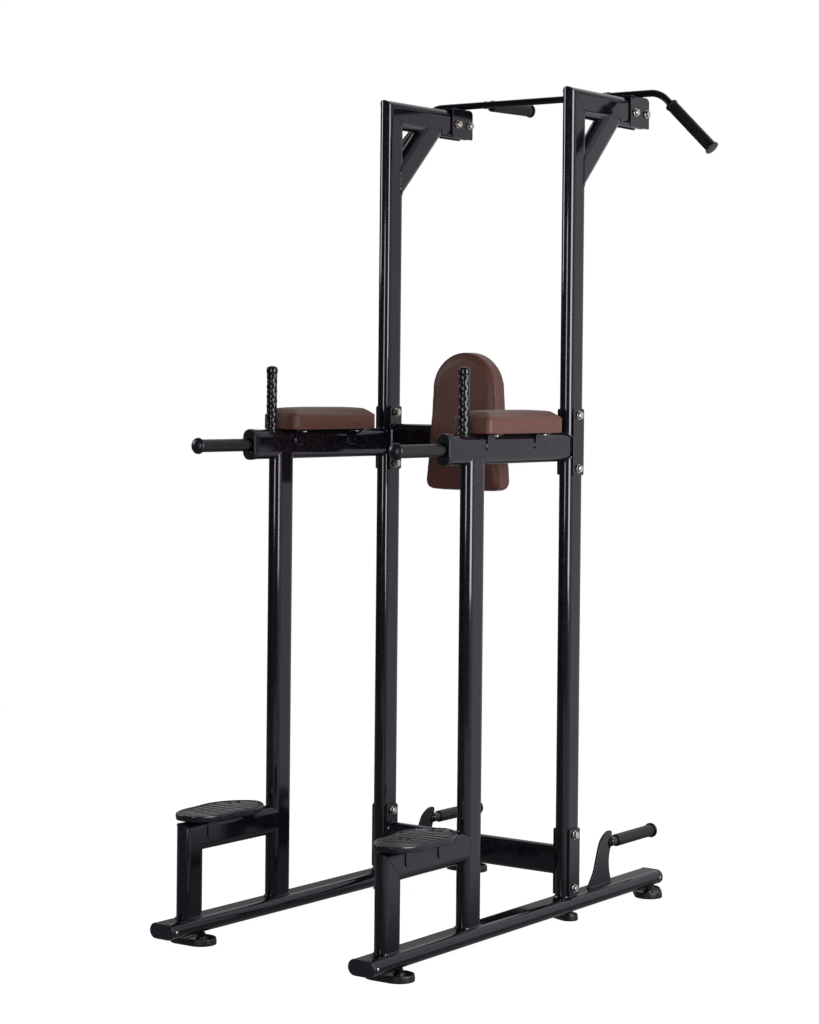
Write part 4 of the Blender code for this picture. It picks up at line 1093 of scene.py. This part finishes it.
def pull_up_bar():
    bend, bend_r, leg = math.radians(44.3), 0.074, 0.205
    straight = 0.360
    half = [Vector((straight, BAR_Y, BAR_Z))]
    for i in range(1, 25):
        a = bend * i / 24
        half.append(Vector((straight + bend_r * math.sin(a), BAR_Y, BAR_Z - bend_r * (1 - math.cos(a)))))
    direction = Vector((math.cos(bend), 0, -math.sin(bend)))
    tip = half[-1] + direction * leg
    half.append(tip)
    mirror = lambda v: Vector((-v.x, v.y, v.z))
    s = Shape()
    pipe(s, [mirror(p) for p in reversed(half)] + half, BAR_R, 28)
    ends = Shape()
    grips = {}
    for side, sign in SIDES:
        tip_s = tip if sign > 0 else mirror(tip)
        axis = Vector((sign * direction.x, 0, direction.z))
        turn = axis.to_track_quat("Z", "Y").to_matrix().to_4x4()
        m = Matrix.Translation(tip_s) @ turn
        lathe(ends, [(0.0, -0.003), (0.0188, -0.003), (0.0203, -0.0024), (0.0210, -0.0010), (0.0210, 0.0004),
                     (0.0204, 0.0018), (0.0180, 0.0026), (0.0090, 0.0030), (0.0, 0.0031)], m, 56)
        g = Shape()
        sleeve(g, m, 0.180, 0.0169, 0.0102, GRIP_SKIN, start=-0.1833)
        lathe(g, rounded_profile(0.0184, -0.1845, -0.1765, 0.0016, 3, inner=0.0102), m, 56)
        piece(f"bar_{side}_grip_outer", [f"pull_up_grip_outer_{side}"], g, GRIP)
        near, far = Vector((sign * 0.2055, BAR_Y, BAR_Z)), Vector((sign * 0.1760, 0.527, BAR_Z))
        run = (far - near).normalized()
        pipe(s, [near + run * 0.002, far], BAR_R, 28)
        ring = []
        for i in range(28):       # weld where the neutral bar meets the main bar
            a = 2 * math.pi * i / 28
            u, v = math.cos(a) * BAR_R, math.sin(a) * BAR_R
            side_dir = run.cross(Z).normalized()
            p = near + side_dir * u + Z * v
            depth = math.sqrt(max(0.0, BAR_R * BAR_R - v * v))
            ring.append(p + run * depth)
        bead(s, ring, 0.0020, seed=22.0 + sign)
        turn2 = run.to_track_quat("Z", "Y").to_matrix().to_4x4()
        m2 = Matrix.Translation(far) @ turn2
        lathe(ends, [(0.0, -0.003), (0.0178, -0.003), (0.0194, -0.0024), (0.0200, -0.0010), (0.0200, 0.0004),
                     (0.0194, 0.0018), (0.0170, 0.0026), (0.0080, 0.0030), (0.0, 0.0031)], m2, 56)
        g = Shape()
        sleeve(g, m2, 0.172, 0.0169, 0.0102, GRIP_SKIN, start=-0.1753)
        piece(f"bar_{side}_grip_neutral", [f"pull_up_grip_neutral_{side}"], g, GRIP)
        # saddle bracket: two cheeks and a bridge over the end of the top arm
        hub_local = CENTRE.inverted() @ HUB[side]
        y0, y1, z0, z1 = 0.268, 0.371, 2.203, 2.291
        cheek = Shape()
        for edge in (-1, 1):
            slab(cheek, box_outline(y0, y1, z0, z1 - 0.0012, (0.003, 0.003, 0.013, 0.004), 6), 0.005,
                 Vector((edge * (R + 0.0003), 0, 0)), Y, Z, X * edge, bevel=0.0009)
        slab(cheek, box_outline(-0.0248, 0.0248, y0 + 0.002, y1 - 0.013, (0.002,) * 4, 3), 0.0062,
             Vector((0, 0, MAST_TOP + 0.0003)), X, Y, Z, bevel=0.0009)
        for edge in (-1, 1):
            bead(cheek, [Vector((edge * 0.0238, y, z1 - 0.0022)) for y in (y0 + 0.004, y1 - 0.016)], 0.0018, closed=False,
                 seed=23.0 + edge)
            bead(cheek, [Vector((x, BAR_Y + edge * 0.0072, z1 + 0.0014)) for x in (-0.023, 0.023)], 0.0028, closed=False,
                 seed=24.0 + edge)
        for v in cheek.bm.verts:
            v.co = hub_local @ v.co
        mesh = bpy.data.meshes.new("tmp")
        cheek.bm.to_mesh(mesh)
        cheek.bm.free()
        s.bm.from_mesh(mesh)
        bpy.data.meshes.remove(mesh)
    piece("bar_main_tube", ["pull_up_bar"], s, COAT)
    piece("bar_main_end_caps", [], ends, CAP)


pull_up_bar()


# ======================================================================
# pads
# ======================================================================
def pad_solid(outline_at, levels, to_world):
    """Closed form through stacked outlines; outline_at(inset) gives the ring, levels are (inset, height)."""
    s = Shape()
    s.rows([[to_world(p, q, h) for p, q in outline_at(inset)] for inset, h in levels])
    bmesh.ops.recalc_face_normals(s.bm, faces=s.bm.faces)
    return s.bm


def padded_piece(name, node, bm, matrix, pinned, cap, voxel=0.0038, pressure=4.0, frames=16):
    """Foam under vinyl: remeshed, blown up a little by a cloth step, held where it sits on its board."""
    mesh = bpy.data.meshes.new(name)
    bm.to_mesh(mesh)
    bm.free()
    obj = bpy.data.objects.new(name, mesh)
    bpy.context.scene.collection.objects.link(obj)
    remesh = obj.modifiers.new("even", "REMESH")
    remesh.mode = "VOXEL"
    remesh.voxel_size = voxel
    graph = bpy.context.evaluated_depsgraph_get()
    graph.update()
    even = bpy.data.meshes.new_from_object(obj.evaluated_get(graph))
    obj.modifiers.clear()
    obj.data = even
    bpy.data.meshes.remove(mesh)
    start = [v.co.copy() for v in even.vertices]
    group = obj.vertex_groups.new(name="board")
    for v in even.vertices:
        weight = pinned(v.co)
        if weight > 0:
            group.add([v.index], weight, "REPLACE")
    cloth = obj.modifiers.new("foam", "CLOTH")
    c = cloth.settings
    c.quality = 6
    c.mass = 0.4
    c.tension_stiffness = c.compression_stiffness = 30
    c.shear_stiffness = 20
    c.bending_stiffness = 12
    c.use_pressure = True
    c.uniform_pressure_force = pressure
    c.effector_weights.gravity = 0
    c.vertex_group_mass = "board"
    cloth.point_cache.frame_start, cloth.point_cache.frame_end = 1, frames
    scene = bpy.context.scene
    for f in range(1, frames + 1):
        scene.frame_set(f)
    graph = bpy.context.evaluated_depsgraph_get()
    blown = bpy.data.meshes.new_from_object(obj.evaluated_get(graph))
    # the foam keeps the cover taut: the swelling is evened out between neighbours and held to a small height
    home = np.array([tuple(v) for v in start])
    step = np.array([tuple(v.co) for v in blown.vertices]) - home
    ends = np.array([tuple(e.vertices) for e in blown.edges])
    count = np.bincount(ends.ravel(), minlength=len(step))[:, None]
    for _ in range(10):
        total = np.zeros_like(step)
        np.add.at(total, ends[:, 0], step[ends[:, 1]])
        np.add.at(total, ends[:, 1], step[ends[:, 0]])
        step = 0.5 * step + 0.5 * total / np.maximum(1, count)
    size = np.linalg.norm(step, axis=1, keepdims=True)
    step *= np.minimum(1, cap / np.maximum(1e-9, size))
    for v, at_home, move in zip(blown.vertices, home, step):
        v.co = at_home + move
    obj.modifiers.clear()
    old = obj.data
    obj.data = blown
    bpy.data.meshes.remove(old)
    scene.frame_set(1)
    return obj


def round_box(hx, y0, y1, r, steps=8):
    return lambda inset: box_outline(-hx + inset, hx - inset, y0 + inset, y1 - inset, (max(0.004, r - inset * 0.6),) * 4, steps)


def arm_pad(side, hub):
    z0 = 1.3428
    outline = round_box(0.0590, -0.4955, -0.1335, 0.015)
    levels = [(0.0200, z0 + 0.0024), (0.0105, z0 + 0.0024), (0.0040, z0 + 0.0003), (0.0012, z0), (0.0003, z0 + 0.0006),
              (0.0, z0 + 0.0018), (0.0, z0 + 0.0150), (0.0, z0 + 0.0290), (0.0, z0 + 0.0405), (0.0008, z0 + 0.0421),
              (0.0030, z0 + 0.0437), (0.0120, z0 + 0.0496), (0.0200, z0 + 0.0549), (0.0245, z0 + 0.0578), (0.0285, z0 + 0.0590),
              (0.0420, z0 + 0.0600)]
    bm = pad_solid(outline, levels, lambda p, q, h: Vector((p, q, h)))
    pin = lambda co: 1.0 if co.z < z0 + 0.004 else 0.0
    obj = padded_piece(f"arm_{side}_pad", f"arm_pad_{side}", bm, hub, pin, 0.0022)
    finish_pad(obj, hub, f"arm_pad_{side}")
    seam(f"arm_{side}_pad_seam", obj, [Vector((px, py, z0 + 0.0372)) for px, py in outline(0.0)], hub, 0.0007)


def seam(name, obj, path, matrix, radius=0.0009):
    """Sewn seam laid on the blown cover, half sunk, puckered a little at every stitch."""
    tree = BVHTree.FromPolygons([v.co.copy() for v in obj.data.vertices], [tuple(f.vertices) for f in obj.data.polygons])
    on_cover = [tree.find_nearest(p)[0] for p in resampled(path, 0.004, True)[0]]
    s = Shape()
    bead(s, on_cover, radius, ripple=0.12, pitch=0.0034, seed=31.0)
    piece(name, [], s, LEATHER, matrix=matrix)


def finish_pad(obj, matrix, node):
    mesh = obj.data
    mesh.shade_smooth()
    mesh.materials.clear()
    mesh.materials.append(LEATHER)
    obj.matrix_world = matrix
    sub = obj.modifiers.new("smooth", "SUBSURF")
    sub.levels = sub.render_levels = 1
    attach(obj, "station")
    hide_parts(node)
    PIECES.append(obj)


def back_outline(inset):
    top, half, flare, bottom, corner = 1.5600, 0.1060, 0.1260, 1.1770, 0.026
    centre = top - half
    h, f = half - inset, flare - inset
    c = max(0.006, corner - inset * 0.6)
    low = bottom + inset
    right = []
    for i in range(21):
        a = math.pi / 2 * (1 - i / 20)
        right.append((h * math.cos(a), centre + h * math.sin(a)))
    right[0] = (0.0, centre + h)
    for i in range(1, 13):
        t = i / 12
        z = centre + (low + c - centre) * t
        right.append((h + (f - h) * t ** 1.2, z))
    for i in range(1, 9):
        a = -math.pi / 2 * i / 8
        right.append((f - c + c * math.cos(a), low + c + c * math.sin(a)))
    return right + [(-x, z) for x, z in reversed(right[1:])]


def back_pad():
    y0, y1 = -0.0210, -0.0775
    levels = [(0.004, 0.0), (0.0012, 0.0012), (0.0, 0.004), (0.0, 0.025), (0.0, 0.0455), (0.0006, 0.0470), (0.0020, 0.0482),
              (0.0070, 0.0512), (0.0120, 0.0540), (0.0142, 0.0552), (0.0170, 0.0556), (0.0300, 0.0559), (0.0500, 0.0560)]
    bm = pad_solid(back_outline, levels, lambda p, q, h: Vector((p, y0 - h, q)))
    pin = lambda co: 1.0 if co.y > y0 - 0.004 else 0.0
    obj = padded_piece("back_pad_cushion", "back_pad", bm, CENTRE, pin, 0.0016)
    finish_pad(obj, CENTRE, "back_pad")
    seam("back_pad_seam_edge", obj, [Vector((px, y0 - 0.0500, pz)) for px, pz in back_outline(0.0008)], CENTRE, 0.0009)
    seam("back_pad_seam_face", obj, [Vector((px, y0 - 0.0555, pz)) for px, pz in back_outline(0.0150)], CENTRE, 0.0009)


for side, sign in SIDES:
    arm_pad(side, HUB[side])
back_pad()


# ======================================================================
# studio
# ======================================================================
def stage():
    mesh = bpy.data.meshes.new("floor")
    bm = bmesh.new()
    bmesh.ops.create_circle(bm, cap_ends=True, cap_tris=False, segments=96, radius=4.6)
    bm.to_mesh(mesh)
    bm.free()
    floor = bpy.data.objects.new("floor", mesh)
    bpy.context.scene.collection.objects.link(floor)
    m = bpy.data.materials.new("floor")
    m.use_nodes = True
    tree = m.node_tree
    n = tree.nodes
    s = n["Principled BSDF"].inputs
    s["Base Color"].default_value = (0.12, 0.12, 0.12, 1)
    s["Roughness"].default_value = 0.9
    s["Specular IOR Level"].default_value = 0.0
    s["Emission Color"].default_value = (1, 1, 1, 1)
    s["Emission Strength"].default_value = 0.94
    # what the gloss of the object sees: a glowing sheet of painted light, dim under the object as a painted shadow,
    # brightening away from it, most to the right
    where = n.new("ShaderNodeTexCoord")

    def ramp(value, a, b, low, high):
        m = n.new("ShaderNodeMapRange")
        m.interpolation_type = "SMOOTHSTEP"
        tree.links.new(value, m.inputs["Value"])
        for key, v in (("From Min", a), ("From Max", b), ("To Min", low), ("To Max", high)):
            m.inputs[key].default_value = v
        return m.outputs["Result"]

    lean = n.new("ShaderNodeVectorMath")
    lean.operation = "DOT_PRODUCT"
    lean.inputs[1].default_value = (0.98, 0.20, 0.0)
    tree.links.new(where.outputs["Object"], lean.inputs[0])
    glow = n.new("ShaderNodeEmission")
    tree.links.new(ramp(lean.outputs["Value"], 0.42, 1.22, 0.21, 0.80), glow.inputs["Strength"])
    path = n.new("ShaderNodeLightPath")
    mix = n.new("ShaderNodeMixShader")
    tree.links.new(path.outputs["Is Camera Ray"], mix.inputs["Fac"])
    tree.links.new(glow.outputs["Emission"], mix.inputs[1])
    tree.links.new(n["Principled BSDF"].outputs["BSDF"], mix.inputs[2])
    tree.links.new(mix.outputs["Shader"], n["Material Output"].inputs["Surface"])
    mesh.materials.append(m)

    world = bpy.data.worlds.new("studio")
    bpy.context.scene.world = world
    world.use_nodes = True
    tree = world.node_tree
    n = tree.nodes
    n.clear()
    out = n.new("ShaderNodeOutputWorld")
    coord = n.new("ShaderNodeTexCoord")

    def dot(direction):
        d = n.new("ShaderNodeVectorMath")
        d.operation = "DOT_PRODUCT"
        tree.links.new(coord.outputs["Generated"], d.inputs[0])
        d.inputs[1].default_value = direction
        return d.outputs["Value"]

    def span(value, a, b, low, high):
        m = n.new("ShaderNodeMapRange")
        m.interpolation_type = "SMOOTHSTEP"
        tree.links.new(value, m.inputs["Value"])
        for key, v in (("From Min", a), ("From Max", b), ("To Min", low), ("To Max", high)):
            m.inputs[key].default_value = v
        return m.outputs["Result"]

    def combine(kind, a, b):
        m = n.new("ShaderNodeMath")
        m.operation = kind
        tree.links.new(a, m.inputs[0])
        tree.links.new(b, m.inputs[1])
        return m.outputs[0]

    # pale backdrop behind the object, brightest towards its right, dim room in front, a lit ceiling at the back
    back = span(dot((0.585, 0.811, 0.0)), 0.14, 0.86, 0.09, 0.86)
    front = span(dot((0.50, -0.866, 0.0)), 0.20, 0.90, 0.0, 0.17)
    ceiling = combine("MULTIPLY", span(dot((0.0, 0.0, 1.0)), 0.10, 0.45, 0.0, 0.90), span(dot((0.0, 1.0, 0.0)), 0.0, 0.40, 0.10, 1.0))
    lit = n.new("ShaderNodeBackground")
    lit.inputs["Color"].default_value = (1.0, 1.0, 1.0, 1)
    tree.links.new(combine("MAXIMUM", combine("MAXIMUM", back, front), ceiling), lit.inputs["Strength"])
    white = n.new("ShaderNodeBackground")
    white.inputs["Color"].default_value = (1, 1, 1, 1)
    white.inputs["Strength"].default_value = 1.0
    path = n.new("ShaderNodeLightPath")
    mix = n.new("ShaderNodeMixShader")
    tree.links.new(path.outputs["Is Camera Ray"], mix.inputs["Fac"])
    tree.links.new(lit.outputs[0], mix.inputs[1])
    tree.links.new(white.outputs[0], mix.inputs[2])
    tree.links.new(mix.outputs[0], out.inputs["Surface"])

    def softbox(name, azimuth, distance, low, high, wide, radiance):
        """Upright softbox between two heights, facing the object; radiance is its brightness on the scale of the backdrop."""
        light = bpy.data.lights.new(name, "AREA")
        light.shape = "RECTANGLE"
        light.size, light.size_y = wide, high - low
        light.energy = radiance * math.pi * wide * (high - low)
        obj = bpy.data.objects.new(name, light)
        bpy.context.scene.collection.objects.link(obj)
        a = math.radians(azimuth)
        obj.location = Vector((math.sin(a) * distance, math.cos(a) * distance, (low + high) / 2))
        obj.rotation_euler = (Vector((0, 0, (low + high) / 2)) - obj.location).to_track_quat("-Z", "Y").to_euler()

    softbox("strip_front", 168, 4.2, 0.86, 2.23, 1.00, 12.0)
    softbox("strip_right", 96, 3.4, 0.66, 2.95, 1.50, 16.5)
    softbox("strip_left", 244, 4.0, 1.95, 3.40, 1.00, 14.0)


stage()

# camera: placed and aimed like the photograph's
scene = bpy.context.scene
yaw, pitch, roll = 0.6243, -0.0052, 0.0099
focal, centre_y = 2430.3, 399.16
fw = Vector((-math.sin(yaw) * math.cos(pitch), math.cos(yaw) * math.cos(pitch), math.sin(pitch)))
rt = Vector((math.cos(yaw), math.sin(yaw), 0))
up = rt.cross(fw)
rt2 = rt * math.cos(roll) + up * math.sin(roll)
up2 = up * math.cos(roll) - rt * math.sin(roll)
cam = bpy.data.cameras.new("camera")
cam_obj = bpy.data.objects.new("camera", cam)
scene.collection.objects.link(cam_obj)
cam_obj.matrix_world = Matrix(((rt2.x, up2.x, -fw.x, 3.8358), (rt2.y, up2.y, -fw.y, -5.6519 + STATION_Y),
                               (rt2.z, up2.z, -fw.z, 1.4636), (0, 0, 0, 1)))
cam.sensor_fit = "AUTO"
cam.sensor_width = 36.0
cam.lens = focal * 36.0 / 1024
cam.shift_x = 0.0
cam.shift_y = (centre_y - 512) / 1024
cam.clip_end = 100
scene.camera = cam_obj
scene.view_settings.view_transform = "Standard"
scene.view_settings.look = "None"
